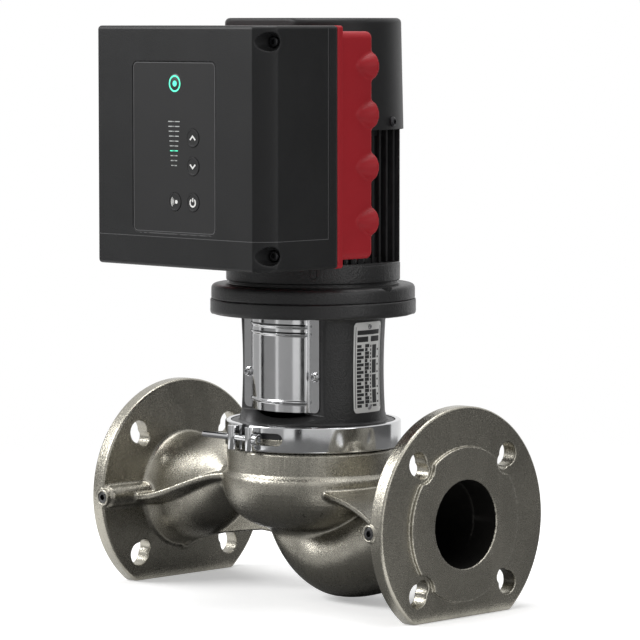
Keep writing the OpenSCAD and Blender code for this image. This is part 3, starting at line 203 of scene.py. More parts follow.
def disc_distance(p: Points, along: int, centre: Triple, radius: float, half: float,
                  edge: float = 0.0) -> np.ndarray:
    """Return the distance to a round disc or rod.

    Args:
        p: Points to measure from.
        along: Index of the axis that the disc is turned round.
        centre: Middle of the disc.
        radius: Radius of the disc.
        half: Half its thickness.
        edge: Rounding of its rims.

    Returns:
        One distance for each point.
    """
    a, b = [i for i in range(3) if i != along]
    spread = np.hypot(p[:, a] - centre[a], p[:, b] - centre[b]) - radius
    return both(spread, np.abs(p[:, along] - centre[along]) - half, edge)


def nothing(p: Points) -> np.ndarray:
    """Return the field of no solid at all."""
    return np.full(len(p), 1e3, np.float32)


def round_box(u: np.ndarray, v: np.ndarray, half_u: float, half_v: float, radius: float) -> np.ndarray:
    """Return the distance to a rounded rectangle about the origin of a plane."""
    a, b = np.abs(u) - half_u + radius, np.abs(v) - half_v + radius
    return np.hypot(np.maximum(a, 0), np.maximum(b, 0)) + np.minimum(np.maximum(a, b), 0) - radius


def ellipse_distance(u: np.ndarray, v: np.ndarray, half_u: Share, half_v: Share) -> np.ndarray:
    """Return about the distance to an ellipse with the given half axes."""
    size = np.sqrt((u / half_u) ** 2 + (v / half_v) ** 2) + 1e-6
    slope = np.sqrt((u / half_u**2) ** 2 + (v / half_v**2) ** 2) / size + 1e-6
    return (size - 1) / slope


# Meshes from distance fields

CORNERS = np.array([(x, y, z) for x in (0, 1) for y in (0, 1) for z in (0, 1)])
EDGES = [(a, b) for a in range(8) for b in range(a + 1, 8) if np.abs(CORNERS[a] - CORNERS[b]).sum() == 1]
BLOCK = 8
HALF_DIAGONAL = 0.87
SLOPE_MARGIN = 1.5
FILLET_MARGIN = 3.0
BATCH = 400
SETTLE_ROUNDS = 2


def lattice(ranges: Sequence[np.ndarray]) -> np.ndarray:
    """Return all points of a grid, with X changing slowest."""
    return np.stack(np.meshgrid(*ranges, indexing="ij"), -1).reshape(-1, 3)


def sample(field: Distance, low: np.ndarray, counts: np.ndarray, voxel: float) -> np.ndarray:
    """Fill a grid with a field's distances, working only in the blocks near its surface."""
    grid = np.empty(tuple(counts), np.float32)
    middles = lattice([(np.arange(0, n, BLOCK) + (BLOCK - 1) / 2) * voxel for n in counts]) + low
    rough = field(middles.astype(np.float32))
    reach = BLOCK * voxel * HALF_DIAGONAL * SLOPE_MARGIN + FILLET_MARGIN
    starts = lattice([np.arange(0, n, BLOCK) for n in counts])
    local = lattice([np.arange(BLOCK)] * 3)
    for (i, j, k), value in zip(starts, rough):
        if abs(value) > reach:
            grid[i : i + BLOCK, j : j + BLOCK, k : k + BLOCK] = value
    near = starts[np.abs(rough) <= reach]
    for first in range(0, len(near), BATCH):
        cells = (near[first : first + BATCH, None, :] + local[None]).reshape(-1, 3)
        cells = cells[(cells < counts).all(1)]
        grid[cells[:, 0], cells[:, 1], cells[:, 2]] = field((cells * voxel + low).astype(np.float32))
    return grid


def net(grid: np.ndarray, low: np.ndarray, voxel: float) -> tuple[np.ndarray, np.ndarray]:
    """Return the vertices and quads of the surface where a grid of distances changes sign."""
    inside = grid < 0
    total = sum(inside[x : inside.shape[0] - 1 + x, y : inside.shape[1] - 1 + y, z : inside.shape[2] - 1 + z]
                .astype(np.int8) for x, y, z in CORNERS)
    cells = np.argwhere((total > 0) & (total < 8))
    index = np.full(total.shape, -1, np.int32)
    index[tuple(cells.T)] = np.arange(len(cells))
    values = np.stack([grid[tuple((cells + c).T)] for c in CORNERS], 1)
    places = np.zeros((len(cells), 3))
    hits = np.zeros(len(cells))
    for a, b in EDGES:
        va, vb = values[:, a], values[:, b]
        crossed = (va < 0) != (vb < 0)
        t = np.where(crossed, va / np.where(crossed, va - vb, 1), 0)
        places += np.where(crossed[:, None], CORNERS[a] + t[:, None] * (CORNERS[b] - CORNERS[a]), 0)
        hits += crossed
    vertices = (cells + places / hits[:, None]) * voxel + low
    quads = []
    for axis in range(3):
        u, v = (axis + 1) % 3, (axis + 2) % 3
        here = [slice(1, -1)] * 3
        there = [slice(1, -1)] * 3
        here[axis], there[axis] = slice(0, -1), slice(1, None)
        first, second = inside[tuple(here)], inside[tuple(there)]
        edges = np.argwhere(first != second)
        offset = np.ones(3, int)
        offset[axis] = 0
        edges = edges + offset
        du, dv = np.eye(3, dtype=int)[u], np.eye(3, dtype=int)[v]
        ring = [index[tuple((edges - s).T)] for s in (du + dv, dv, 0 * du, du)]
        faces = np.stack(ring, 1)
        outward = inside[tuple(edges.T)]
        faces[~outward] = faces[~outward][:, ::-1]
        quads.append(faces)
    return vertices, np.concatenate(quads)


def slope_of(field: Distance, places: np.ndarray, step: float) -> np.ndarray:
    """Return a field's slope at some places, measured over a small step."""
    steps = step * np.eye(3, dtype=np.float32)
    return np.stack([field(places + e) - field(places - e) for e in steps], 1) / (2 * step)


def settle(field: Distance, vertices: np.ndarray, voxel: float) -> np.ndarray:
    """Move vertices onto a field's surface along its slope."""
    moved = vertices.astype(np.float32)
    for _ in range(SETTLE_ROUNDS):
        slope = slope_of(field, moved, 0.3 * voxel)
        size = np.maximum((slope**2).sum(1), 0.25)
        move = (field(moved) / size)[:, None] * slope
        moved = moved - np.clip(move, -0.5 * voxel, 0.5 * voxel)
    return moved


def cast_piece(name: str, field: Distance, low: Triple, high: Triple, voxel: float,
               keep: float = 1.0) -> bpy.types.Object:
    """Make a smooth closed mesh of a distance field.

    Args:
        name: Name of the piece.
        field: The field, round the shaft axis, in millimetres.
        low: Lowest corner of the space that holds the surface.
        high: Highest corner of that space.
        voxel: Edge of a grid cell.
        keep: Share of the faces that stays after thinning out.

    Returns:
        The new object.
    """
    cell = voxel * 1.0
    base = np.array(low, float) - 2 * cell
    counts = np.ceil((np.array(high, float) + 2 * cell - base) / cell).astype(int) + 1
    grid = sample(field, base, counts, cell)
    vertices, quads = net(grid, base, cell)
    vertices = settle(field, vertices, cell)
    mesh = bpy.data.meshes.new(name)
    mesh.vertices.add(len(vertices))
    mesh.vertices.foreach_set("co", ((vertices + (SHAFT_X, 0, 0)) * MM).astype(np.float32).ravel())
    mesh.loops.add(quads.size)
    mesh.loops.foreach_set("vertex_index", quads.astype(np.int32).ravel())
    mesh.polygons.add(len(quads))
    mesh.polygons.foreach_set("loop_start", np.arange(0, quads.size, 4, dtype=np.int32))
    mesh.update(calc_edges=True)
    mesh.validate()
    mesh.shade_smooth()
    piece = link(name, mesh)
    if keep < 1.0:
        thin = piece.modifiers.new("thin", "DECIMATE")
        thin.ratio = keep
        apply_modifiers(piece)
        piece.data.shade_smooth()
    places = np.empty(len(piece.data.vertices) * 3, np.float32)
    piece.data.vertices.foreach_get("co", places)
    places = (places.reshape(-1, 3) / MM - np.array((SHAFT_X, 0, 0))).astype(np.float32)
    normals = slope_of(field, places, 0.25)
    normals /= np.maximum(np.linalg.norm(normals, axis=1, keepdims=True), 1e-6)
    piece.data.normals_split_custom_set_from_vertices(normals.tolist())
    log.info("%s: %d faces from a field", name, len(piece.data.polygons))
    return piece


# Meshes from outlines and paths


def link(name: str, mesh: bpy.types.Mesh) -> bpy.types.Object:
    """Put a mesh into the scene as an object of that name."""
    piece = bpy.data.objects.new(name, mesh)
    bpy.context.scene.collection.objects.link(piece)
    return piece


def apply_modifiers(piece: bpy.types.Object) -> None:
    """Replace a piece's mesh by the result of its modifiers."""
    graph = bpy.context.evaluated_depsgraph_get()
    mesh = bpy.data.meshes.new_from_object(piece.evaluated_get(graph))
    piece.modifiers.clear()
    piece.data = mesh


def mesh_piece(name: str, vertices: Iterable[Sequence[float]],
               faces: Iterable[Sequence[int]]) -> bpy.types.Object:
    """Make an object from vertices in millimetres round the shaft axis, and each face's vertex numbers."""
    mesh = bpy.data.meshes.new(name)
    mesh.from_pydata([((v[0] + SHAFT_X) * MM, v[1] * MM, v[2] * MM) for v in vertices], [], list(faces))
    tidy(mesh)
    shade(mesh, 35.0)
    return link(name, mesh)


def tidy(mesh: bpy.types.Mesh, join: float = 1e-7) -> None:
    """Join doubled vertices, drop empty faces and turn every face outward."""
    work = bmesh.new()
    work.from_mesh(mesh)
    bmesh.ops.remove_doubles(work, verts=work.verts, dist=join)
    bmesh.ops.dissolve_degenerate(work, edges=work.edges, dist=join)
    bmesh.ops.recalc_face_normals(work, faces=work.faces)
    work.to_mesh(mesh)
    work.free()


def shade(mesh: bpy.types.Mesh, angle: float) -> None:
    """Shade a mesh smooth, except across edges sharper than the angle."""
    mesh.shade_smooth()
    mesh.set_sharp_from_angle(angle=math.radians(angle))


def bevel(piece: bpy.types.Object, width: float, segments: int = 2, angle: float = 30.0) -> bpy.types.Object:
    """Round the sharp edges of a piece by a width in millimetres."""
    modifier = piece.modifiers.new("bevel", "BEVEL")
    modifier.width = width * MM
    modifier.segments = segments
    modifier.limit_method = "ANGLE"
    modifier.angle_limit = math.radians(angle)
    modifier.use_clamp_overlap = True
    modifier.harden_normals = False
    apply_modifiers(piece)
    shade(piece.data, 40.0)
    return piece


def boolean(piece: bpy.types.Object, tool: bpy.types.Object) -> bpy.types.Object:
    """Cut a tool out of a piece, and remove the tool."""
    modifier = piece.modifiers.new("boolean", "BOOLEAN")
    modifier.operation = "DIFFERENCE"
    modifier.solver = "EXACT"
    modifier.object = tool
    apply_modifiers(piece)
    bpy.data.objects.remove(tool)
    tidy(piece.data)
    return piece


def join(name: str, parts: Sequence[bpy.types.Object]) -> bpy.types.Object:
    """Join several unpainted objects into one of that name."""
    work = bmesh.new()
    for part in parts:
        work.from_mesh(part.data)
        bpy.data.objects.remove(part)
    mesh = bpy.data.meshes.new(name)
    work.to_mesh(mesh)
    work.free()
    shade(mesh, 40.0)
    return link(name, mesh)


def skin(rows: int, n: int, closed: bool) -> list[tuple[int, ...]]:
    """Return the faces between neighbouring rows of n points each; closed joins the last to the first."""
    return [(k * n + i, (k + 1) % rows * n + i, (k + 1) % rows * n + (i + 1) % n, k * n + (i + 1) % n)
            for k in range(rows if closed else rows - 1) for i in range(n)]


def lathe(name: str, outline: Sequence[Pair], matrix: Matrix | None = None,
          segments: int = 96) -> bpy.types.Object:
    """Turn a closed outline of radius and height into a ring or solid.

    Args:
        name: Name of the piece.
        outline: Points of radius and height; points on the axis have radius zero.
        matrix: Where the turned piece goes; None stands for the shaft axis.
        segments: Number of steps round the axis.

    Returns:
        The new object.
    """
    place = matrix or Matrix.Identity(4)
    turns = [2 * math.pi * k / segments for k in range(segments)]
    vertices = [place @ Vector((r * math.cos(a), r * math.sin(a), z)) for a in turns for r, z in outline]
    n = len(outline)
    faces = [face for face in skin(segments, n, True) if outline[face[0] % n][0] or outline[face[3] % n][0]]
    return mesh_piece(name, vertices, faces)


def prism(name: str, outline: Sequence[Pair], depth: float, matrix: Matrix) -> bpy.types.Object:
    """Push a flat outline along its normal.

    Args:
        name: Name of the piece.
        outline: Points in the plane's own X and Y.
        depth: Length of the push along the plane's Z.
        matrix: Where the plane lies.

    Returns:
        The new object.
    """
    n = len(outline)
    vertices = [matrix @ Vector((u, v, w)) for w in (0, depth) for u, v in outline]
    sides = [(i, (i + 1) % n, n + (i + 1) % n, n + i) for i in range(n)]
    faces = [tuple(range(n - 1, -1, -1)), tuple(range(n, 2 * n))] + sides
    return mesh_piece(name, vertices, faces)


def sweep(name: str, sections: Sequence[Sequence[Triple]], closed: bool = False) -> bpy.types.Object:
    """Skin a row of closed sections, with flat ends unless the row is closed."""
    n, rows = len(sections[0]), len(sections)
    faces = skin(rows, n, closed)
    if not closed:
        faces += [tuple(range(n)), tuple(range(rows * n - 1, (rows - 1) * n - 1, -1))]
    return mesh_piece(name, [p for s in sections for p in s], faces)


def facing_front(x: float, y: float, z: float) -> Matrix:
    """Return a plane at a point whose X and Y run right and up as seen from the front, with Z facing -Y."""
    return Matrix(((1, 0, 0, x), (0, 0, -1, y), (0, 1, 0, z), (0, 0, 0, 1)))


def facing_out(angle: float, radius: float, z: float) -> Matrix:
    """Return a plane on a circle round the shaft whose Z faces outward and whose Y is up."""
    a = math.radians(angle)
    c, s = math.cos(a), math.sin(a)
    return Matrix(((-s, 0, c, c * radius), (c, 0, s, s * radius), (0, 1, 0, z), (0, 0, 0, 1)))


def screw_with_drive(name: str, outline: Sequence[Pair], place: Matrix, segments: int, drive: Sequence[Pair],
                     depth: float, floor: float) -> bpy.types.Object:
    """Turn a screw or a plug and sink the drive into its head.

    Args:
        name: Name of the piece.
        outline: Its outline of radius and height above the seat.
        place: Where the seat lies.
        segments: Number of steps round the axis.
        drive: Outline of the drive.
        depth: Length of the cut.
        floor: Height of the drive's floor above the seat.

    Returns:
        The screw.
    """
    screw = lathe(name, outline, place, segments)
    return boolean(screw, prism("drive", drive, depth, place @ Matrix.Translation((0, 0, floor))))


MERGE_DISTANCE = 2e-6
FLAT_ANGLE = 0.6


def soften(node: str, width: float, segments: int = 2, angle: float = 32.0) -> bpy.types.Object:
    """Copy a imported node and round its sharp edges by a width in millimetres."""
    source = frame["nodes"][node]
    mesh = source.data.copy()
    mesh.materials.clear()
    piece = link(f"{node}_dressed", mesh)
    work = bmesh.new()
    work.from_mesh(mesh)
    bmesh.ops.remove_doubles(work, verts=work.verts, dist=MERGE_DISTANCE)
    bmesh.ops.dissolve_limit(work, angle_limit=math.radians(FLAT_ANGLE), verts=work.verts, edges=work.edges)
    work.to_mesh(mesh)
    work.free()
    return bevel(piece, width, segments, angle)


# Shader nodes and node groups

Socket = bpy.types.NodeSocket
Tree = bpy.types.NodeTree
NUMBER, COLOUR, DIRECTION = "NodeSocketFloat", "NodeSocketColor", "NodeSocketVector"
MIX_SHARE, MIX_FIRST, MIX_SECOND, MIX_RESULT = 0, 6, 7, 2


def add_node(tree: Tree, kind: str, inputs: dict | None = None, **settings) -> bpy.types.Node:
    """Add a shader node.

    Args:
        tree: Tree that gets the node.
        kind: Blender's type name of the node.
        inputs: Values or sockets for its inputs, by name or number.
        **settings: Attributes to set on it first.

    Returns:
        The node.
    """
    node = tree.nodes.new(kind)
    for key, value in settings.items():
        setattr(node, key, value)
    for key, value in (inputs or {}).items():
        if isinstance(value, bpy.types.NodeSocket):
            tree.links.new(value, node.inputs[key])
        else:
            node.inputs[key].default_value = value
    return node


def maths(tree: Tree, operation: str, a: Socket | float, b: Socket | float, clamp: bool = False) -> Socket:
    """Return the result of a sum or product."""
    return add_node(tree, "ShaderNodeMath", {0: a, 1: b}, operation=operation, use_clamp=clamp).outputs[0]


def ramp(tree: Tree, value: Socket, low: float, high: float, start: float = 0.0, end: float = 1.0) -> Socket:
    """Return a value that runs from start to end while the given one runs from low to high."""
    return add_node(tree, "ShaderNodeMapRange", {0: value, 1: low, 2: high, 3: start, 4: end}).outputs[0]


def noise(tree: Tree, place: Socket, scale: Socket | float, detail: float = 2.0, roughness: float = 0.5,
          distortion: float = 0.0) -> Socket:
    """Return soft noise at a place."""
    return add_node(tree, "ShaderNodeTexNoise", {"Vector": place, "Scale": scale, "Detail": detail,
                                                 "Roughness": roughness, "Distortion": distortion}).outputs[0]


def mix_colours(tree: Tree, share: Socket, first: Socket | tuple, second: Socket | tuple) -> Socket:
    """Return the colour a share of the way from the first one to the second one."""
    return add_node(tree, "ShaderNodeMix", {MIX_SHARE: share, MIX_FIRST: first, MIX_SECOND: second},
                    data_type="RGBA").outputs[MIX_RESULT]


def place_on_object(tree: Tree) -> Socket:
    """Return the shaded point in the object's own coordinates."""
    return add_node(tree, "ShaderNodeTexCoord").outputs["Object"]


def upness(tree: Tree) -> Socket:
    """Return how far a face is turned up, from -1 to 1."""
    normal = add_node(tree, "ShaderNodeNewGeometry").outputs["Normal"]
    return add_node(tree, "ShaderNodeSeparateXYZ", {0: normal}).outputs[2]


class GroupBuilder:
    """Builds one shader node group with named inputs and outputs."""

    def __init__(self, name: str, inputs: dict[str, float | tuple]) -> None:
        """Make the group and its inputs.

        Args:
            name: Name of the group.
            inputs: Default value of each input, by name: a number, a direction or a colour.
        """
        self.tree = bpy.data.node_groups.new(name, "ShaderNodeTree")
        for label, value in inputs.items():
            kind = NUMBER if isinstance(value, float) else DIRECTION if len(value) == 3 else COLOUR
            socket = self.tree.interface.new_socket(label, in_out="INPUT", socket_type=kind)
            socket.default_value = value
        self.source = self.tree.nodes.new("NodeGroupInput")

    def take(self, label: str) -> Socket:
        """Return one of the group's inputs as a socket to link from."""
        return self.source.outputs[label]

    def finish(self, **outputs: Socket) -> Tree:
        """Make the group's outputs and link them, and return the group."""
        for label in outputs:
            kind = COLOUR if label == "Colour" else NUMBER
            self.tree.interface.new_socket(label, in_out="OUTPUT", socket_type=kind)
        sink = self.tree.nodes.new("NodeGroupOutput")
        for label, socket in outputs.items():
            self.tree.links.new(socket, sink.inputs[label])
        return self.tree


def grain_group() -> Tree:
    """Build the group that makes a blasted or moulded grain: a height for a bump and a mask of its pits."""
    g = GroupBuilder("surface_grain", {"Scale": 900.0, "Coarse": 0.3, "Pits": 0.5})
    place = place_on_object(g.tree)
    fine = noise(g.tree, place, g.take("Scale"), 3.0, 0.6)
    coarse = noise(g.tree, place, maths(g.tree, "MULTIPLY", g.take("Scale"), 0.22))
    pits = add_node(g.tree, "ShaderNodeTexVoronoi", {"Vector": place, "Scale": g.take("Scale")})
    share = maths(g.tree, "MULTIPLY", pits.outputs["Distance"], g.take("Pits"))
    rise = maths(g.tree, "MULTIPLY", coarse, g.take("Coarse"))
    height = maths(g.tree, "ADD", maths(g.tree, "ADD", fine, share), rise)
    return g.finish(Height=height, Mask=ramp(g.tree, fine, 0.35, 0.65))


def mottle_group() -> Tree:
    """Build the group that drifts between two colours in soft clouds with a few streaks."""
    g = GroupBuilder("mottled_colour", {"Colour A": (1, 1, 1, 1), "Colour B": (0.8, 0.8, 0.8, 1),
                                        "Scale": 14.0, "Streak": 1.0})
    stretch = add_node(g.tree, "ShaderNodeCombineXYZ", {0: 1.0, 1: 1.0, 2: g.take("Streak")})
    place = add_node(g.tree, "ShaderNodeVectorMath", {0: place_on_object(g.tree), 1: stretch.outputs[0]},
                     operation="MULTIPLY").outputs[0]
    mask = ramp(g.tree, noise(g.tree, place, g.take("Scale"), 6.0, 0.65, 0.6), 0.32, 0.68)
    return g.finish(Colour=mix_colours(g.tree, mask, g.take("Colour A"), g.take("Colour B")), Mask=mask)


def wear_group() -> Tree:
    """Build the group that finds worn edges: a mask of outward edges broken up by noise."""
    g = GroupBuilder("edge_wear", {"Amount": 0.5, "Scale": 120.0})
    point = add_node(g.tree, "ShaderNodeNewGeometry").outputs["Pointiness"]
    spots = ramp(g.tree, noise(g.tree, place_on_object(g.tree), g.take("Scale"), 4.0), 0.35, 0.62)
    edges = maths(g.tree, "MULTIPLY", ramp(g.tree, point, 0.52, 0.60), spots)
    return g.finish(Mask=maths(g.tree, "MULTIPLY", edges, g.take("Amount"), True))


def dust_group() -> Tree:
    """Build the group that finds faces turned up, where a little dust lies."""
    g = GroupBuilder("settled_dust", {"Amount": 0.2})
    flat = ramp(g.tree, upness(g.tree), 0.55, 1.0)
    spread = maths(g.tree, "MULTIPLY", flat, noise(g.tree, place_on_object(g.tree), 60.0, 5.0))
    return g.finish(Mask=maths(g.tree, "MULTIPLY", spread, g.take("Amount")))


def underside_shade_group() -> Tree:
    """Build the group of painted shade: a mask of faces turned down, broken up by noise."""
    g = GroupBuilder("painted_underside_shade", {"Amount": 0.5})
    down = ramp(g.tree, upness(g.tree), 0.05, -0.85)
    spread = ramp(g.tree, noise(g.tree, place_on_object(g.tree), 45.0, 4.0), 0.3, 0.7, 0.7)
    return g.finish(Mask=maths(g.tree, "MULTIPLY", maths(g.tree, "MULTIPLY", down, spread), g.take("Amount")))


def brushing_group() -> Tree:
    """Build the group that draws fine lines along one axis of the part, as brushing or turning leaves."""
    g = GroupBuilder("brushed_lines", {"Stretch": (1.0, 1.0, 0.02), "Scale": 900.0})
    place = add_node(g.tree, "ShaderNodeVectorMath", {0: place_on_object(g.tree), 1: g.take("Stretch")},
                     operation="MULTIPLY").outputs[0]
    lines = noise(g.tree, place, g.take("Scale"))
    return g.finish(Height=lines, Mask=ramp(g.tree, lines, 0.3, 0.7))


class Effects:
    """The shared node groups, each built once."""

    def __init__(self) -> None:
        """Build every group."""
        self.grain = grain_group()
        self.mottle = mottle_group()
        self.wear = wear_group()
        self.dust = dust_group()
        self.under = underside_shade_group()
        self.brushing = brushing_group()


COAT_ROUGHNESS = 0.12
DUST_COLOUR = (0.42, 0.40, 0.37)
# Share of the second colour that the painted shade on faces turned down darkens to.
UNDERSIDE_SHADE_SHARE = 0.25


@dataclass(frozen=True)
class Finish:
    """One surface finish, made into a material with the shared effects.

    The colours are linear. Bump is the height of the grain in millimetres and grain its size, also in
    millimetres; mottle clouds drift to the second colour; wear shows the edge colour on outward edges, shaded
    paints shade on faces turned down, and dust lies on faces turned up.
    """

    name: str
    colour: Triple
    second: Triple
    metallic: float = 0.0
    roughness: float = 0.5
    roughness_spread: float = 0.08
    grain: float = 1.0
    bump: float = 0.05
    coarse: float = 0.3
    pits: float = 0.3
    mottle_scale: float = 14.0
    streak: float = 1.0
    wear: float = 0.0
    edge: Triple = (0.5, 0.5, 0.5)
    dust: float = 0.0
    coat: float = 0.0
    brushed: Triple | None = None
    glow: float = 0.0
    specular: float = 0.5
    shaded: float = 0.0

    def material(self, effects: Effects) -> bpy.types.Material:
        """Build the material.

        Args:
            effects: The shared node groups.

        Returns:
            The new material.
        """
        material = bpy.data.materials.new(self.name)
        material.use_nodes = True
        tree = material.node_tree
        surface = tree.nodes["Principled BSDF"]
        surface.inputs["Metallic"].default_value = self.metallic
        surface.inputs["Specular IOR Level"].default_value = self.specular
        if self.coat > 0:
            surface.inputs["Coat Weight"].default_value = self.coat
            surface.inputs["Coat Roughness"].default_value = COAT_ROUGHNESS
        mottle = add_node(tree, "ShaderNodeGroup", node_tree=effects.mottle, inputs={
            "Colour A": (*self.colour, 1), "Colour B": (*self.second, 1), "Scale": self.mottle_scale,
            "Streak": self.streak})
        colour = mottle.outputs["Colour"]
        underside_shade_colour = tuple(UNDERSIDE_SHADE_SHARE * c for c in self.second)
        # Layers over the mottled colour: worn edges, painted shade on faces turned down, and dust on faces
        # turned up.
        for amount, group, above in ((self.wear, effects.wear, self.edge),
                                     (self.shaded, effects.under, underside_shade_colour),
                                     (self.dust, effects.dust, DUST_COLOUR)):
            if amount > 0:
                layer = add_node(tree, "ShaderNodeGroup", {"Amount": amount}, node_tree=group)
                colour = mix_colours(tree, layer.outputs["Mask"], colour, (*above, 1))
        tree.links.new(colour, surface.inputs["Base Color"])
        if self.brushed:
            group, inputs = effects.brushing, {"Stretch": self.brushed}
        else:
            group, inputs = effects.grain, {"Coarse": self.coarse, "Pits": self.pits}
        relief = add_node(tree, "ShaderNodeGroup", {"Scale": 1 / MM / self.grain, **inputs}, node_tree=group)
        spread = maths(tree, "ADD", relief.outputs["Mask"], mottle.outputs["Mask"])
        rough = ramp(tree, spread, 0.0, 2.0, self.roughness - self.roughness_spread,
                     self.roughness + self.roughness_spread)
        tree.links.new(rough, surface.inputs["Roughness"])
        bump = add_node(tree, "ShaderNodeBump", {"Strength": 1.0, "Distance": self.bump * MM,
                                                 "Height": relief.outputs["Height"]})
        tree.links.new(bump.outputs[0], surface.inputs["Normal"])
        if self.glow > 0:
            tree.links.new(colour, surface.inputs["Emission Color"])
            surface.inputs["Emission Strength"].default_value = self.glow
        return material


class Slot(Enum):
    """Material slots of the record, with the finish that each one gets."""

    # shaded=0.6 paints shade on the casting's faces turned down.
    CAST_STAINLESS = Finish("cast_stainless", (0.44, 0.42, 0.36), (0.30, 0.286, 0.246), 1.0, 0.26, 0.08,
                            grain=0.9, bump=0.22, coarse=0.4, pits=0.35, mottle_scale=24, streak=0.5,
                            wear=0.7, edge=(0.70, 0.67, 0.59), shaded=0.6)
    POLISHED_STAINLESS = Finish("polished_stainless", (0.58, 0.585, 0.59), (0.54, 0.54, 0.55), 1.0, 0.13,
                                0.03, grain=6, bump=0.01, mottle_scale=9)
    ZINC_STEEL = Finish("zinc_steel", (0.52, 0.52, 0.53), (0.42, 0.42, 0.44), 1.0, 0.28, 0.08, grain=0.6,
                        bump=0.02, wear=0.4, edge=(0.75, 0.75, 0.76))
    DARK_FASTENERS = Finish("dark_fasteners", (0.03, 0.03, 0.032), (0.02, 0.02, 0.022), 0.6, 0.38, 0.08,
                            grain=0.5, bump=0.02, wear=0.4, edge=(0.16, 0.16, 0.165))
    COATED_IRON = Finish("coated_iron", (0.0185, 0.0185, 0.019), (0.014, 0.014, 0.0145), 0.0, 0.40, 0.08,
                         grain=1.5, bump=0.22, coarse=0.9, pits=0.7, mottle_scale=30, wear=0.22,
                         edge=(0.07, 0.07, 0.072), dust=0.02, specular=0.4)
    SHAFT_STEEL = Finish("shaft_steel", (0.60, 0.60, 0.61), (0.52, 0.52, 0.53), 1.0, 0.22, 0.06, grain=0.5,
                         bump=0.01, brushed=(0.05, 0.05, 1.0))
    WEAR_BRONZE = Finish("wear_bronze", (0.45, 0.30, 0.14), (0.38, 0.25, 0.12), 1.0, 0.32, 0.06, grain=0.6,
                         bump=0.02, brushed=(0.05, 0.05, 1.0))
    CARBON_SEAL = Finish("carbon_seal", (0.03, 0.03, 0.032), (0.04, 0.04, 0.042), 0.0, 0.35, 0.05, grain=0.5,
                         bump=0.01)
    BLACK_RUBBER = Finish("black_rubber", (0.018, 0.018, 0.018), (0.024, 0.024, 0.024), 0.0, 0.72, 0.06,
                          grain=0.7, bump=0.03)
    COUPLING_IRON = Finish("coupling_iron", (0.20, 0.20, 0.205), (0.15, 0.15, 0.155), 0.9, 0.42, 0.08,
                           grain=0.8, bump=0.05, wear=0.3)
    BLACK_ALUMINIUM = Finish("black_aluminium", (0.0085, 0.0085, 0.009), (0.006, 0.006, 0.0065), 0.0, 0.42,
                             0.06, grain=0.9, bump=0.05, wear=0.12, edge=(0.05, 0.05, 0.052), dust=0.03,
                             specular=0.3)
    LAMINATION_STEEL = Finish("lamination_steel", (0.22, 0.22, 0.23), (0.15, 0.15, 0.16), 1.0, 0.45, 0.1,
                              grain=0.6, bump=0.04, brushed=(0.02, 0.02, 1.0))
    COPPER_WINDING = Finish("copper_winding", (0.50, 0.19, 0.07), (0.38, 0.13, 0.05), 1.0, 0.35, 0.08,
                            grain=0.8, bump=0.1, coat=0.4, brushed=(0.1, 0.1, 1.0))
    BLACK_PLASTIC = Finish("black_plastic", (0.0095, 0.0097, 0.0102), (0.0120, 0.0122, 0.0128), 0.0, 0.46,
                           0.05, grain=0.9, bump=0.06, coarse=0.3, pits=0.6, mottle_scale=16, streak=0.7,
                           wear=0.15, edge=(0.05, 0.05, 0.052), dust=0.015, specular=0.25)
    RED_PLASTIC = Finish("red_plastic", (0.34, 0.012, 0.019), (0.30, 0.010, 0.016), 0.0, 0.45, 0.05,
                         grain=0.9, bump=0.045, mottle_scale=12, wear=0.25, edge=(0.46, 0.045, 0.05),
                         specular=0.2)
    PANEL_FILM = Finish("panel_film", (0.0145, 0.0145, 0.015), (0.0165, 0.0165, 0.017), 0.0, 0.50, 0.05,
                        grain=0.6, bump=0.015, mottle_scale=10, specular=0.25)
    KEY_PLASTIC = Finish("key_plastic", (0.0155, 0.0155, 0.016), (0.018, 0.018, 0.0185), 0.0, 0.48, 0.05,
                         grain=0.6, bump=0.02, specular=0.25)
    STATUS_GLASS = Finish("status_glass", (0.10, 0.80, 0.50), (0.08, 0.70, 0.44), 0.0, 0.25, 0.03, grain=0.8,
                          bump=0.01, coat=0.5, glow=0.9)
    LEVEL_GLASS = Finish("level_glass", (0.48, 0.50, 0.49), (0.40, 0.42, 0.41), 0.0, 0.35, 0.05, grain=0.8,
                         bump=0.01)
    BOARD_LAMINATE = Finish("board_laminate", (0.01, 0.14, 0.05), (0.008, 0.11, 0.04), 0.0, 0.35, 0.06,
                            grain=0.8, bump=0.03, coat=0.5)
    BARE_PLATE = Finish("bare_plate", (0.74, 0.74, 0.73), (0.66, 0.66, 0.65), 0.25, 0.36, 0.06, grain=0.5,
                        bump=0.01, brushed=(1.0, 1.0, 0.03))

    @property
    def key(self) -> str:
        """Return the slot's name in the record."""
        return self.value.name


# Near-black painted shade for the inside of the casting's passages.
PASSAGE_SHADE = Finish("painted_passage_shade", (0.022, 0.021, 0.019), (0.012, 0.0115, 0.0105), 0.6, 0.55, 0.1,
                        grain=1.1, bump=0.26, coarse=0.5, pits=0.7, mottle_scale=24, specular=0.2)
TAPPING_PLUG = Finish("tapping_plug", (0.11, 0.11, 0.11), (0.07, 0.07, 0.07), 1.0, 0.28, 0.06, grain=0.6,
                      bump=0.02, wear=0.3, edge=(0.5, 0.5, 0.5))
# Lighter grey for thin lines that paint the highlight of an edge or a groove on dark plastic.
EDGE_HIGHLIGHT_LINE = Finish("painted_edge_highlight", (0.075, 0.075, 0.077), (0.065, 0.065, 0.067), 0.0, 0.40, 0.05,
                      grain=0.6, bump=0.01)
WHITE_MARK = Finish("white_mark", (0.78, 0.78, 0.76), (0.72, 0.72, 0.70), 0.0, 0.45, 0.05, grain=0.6,
                    bump=0.01)
DARK_PRINT = Finish("dark_print", (0.012, 0.012, 0.013), (0.02, 0.02, 0.021), 0.0, 0.40, 0.05, grain=0.6,
                    bump=0.01)


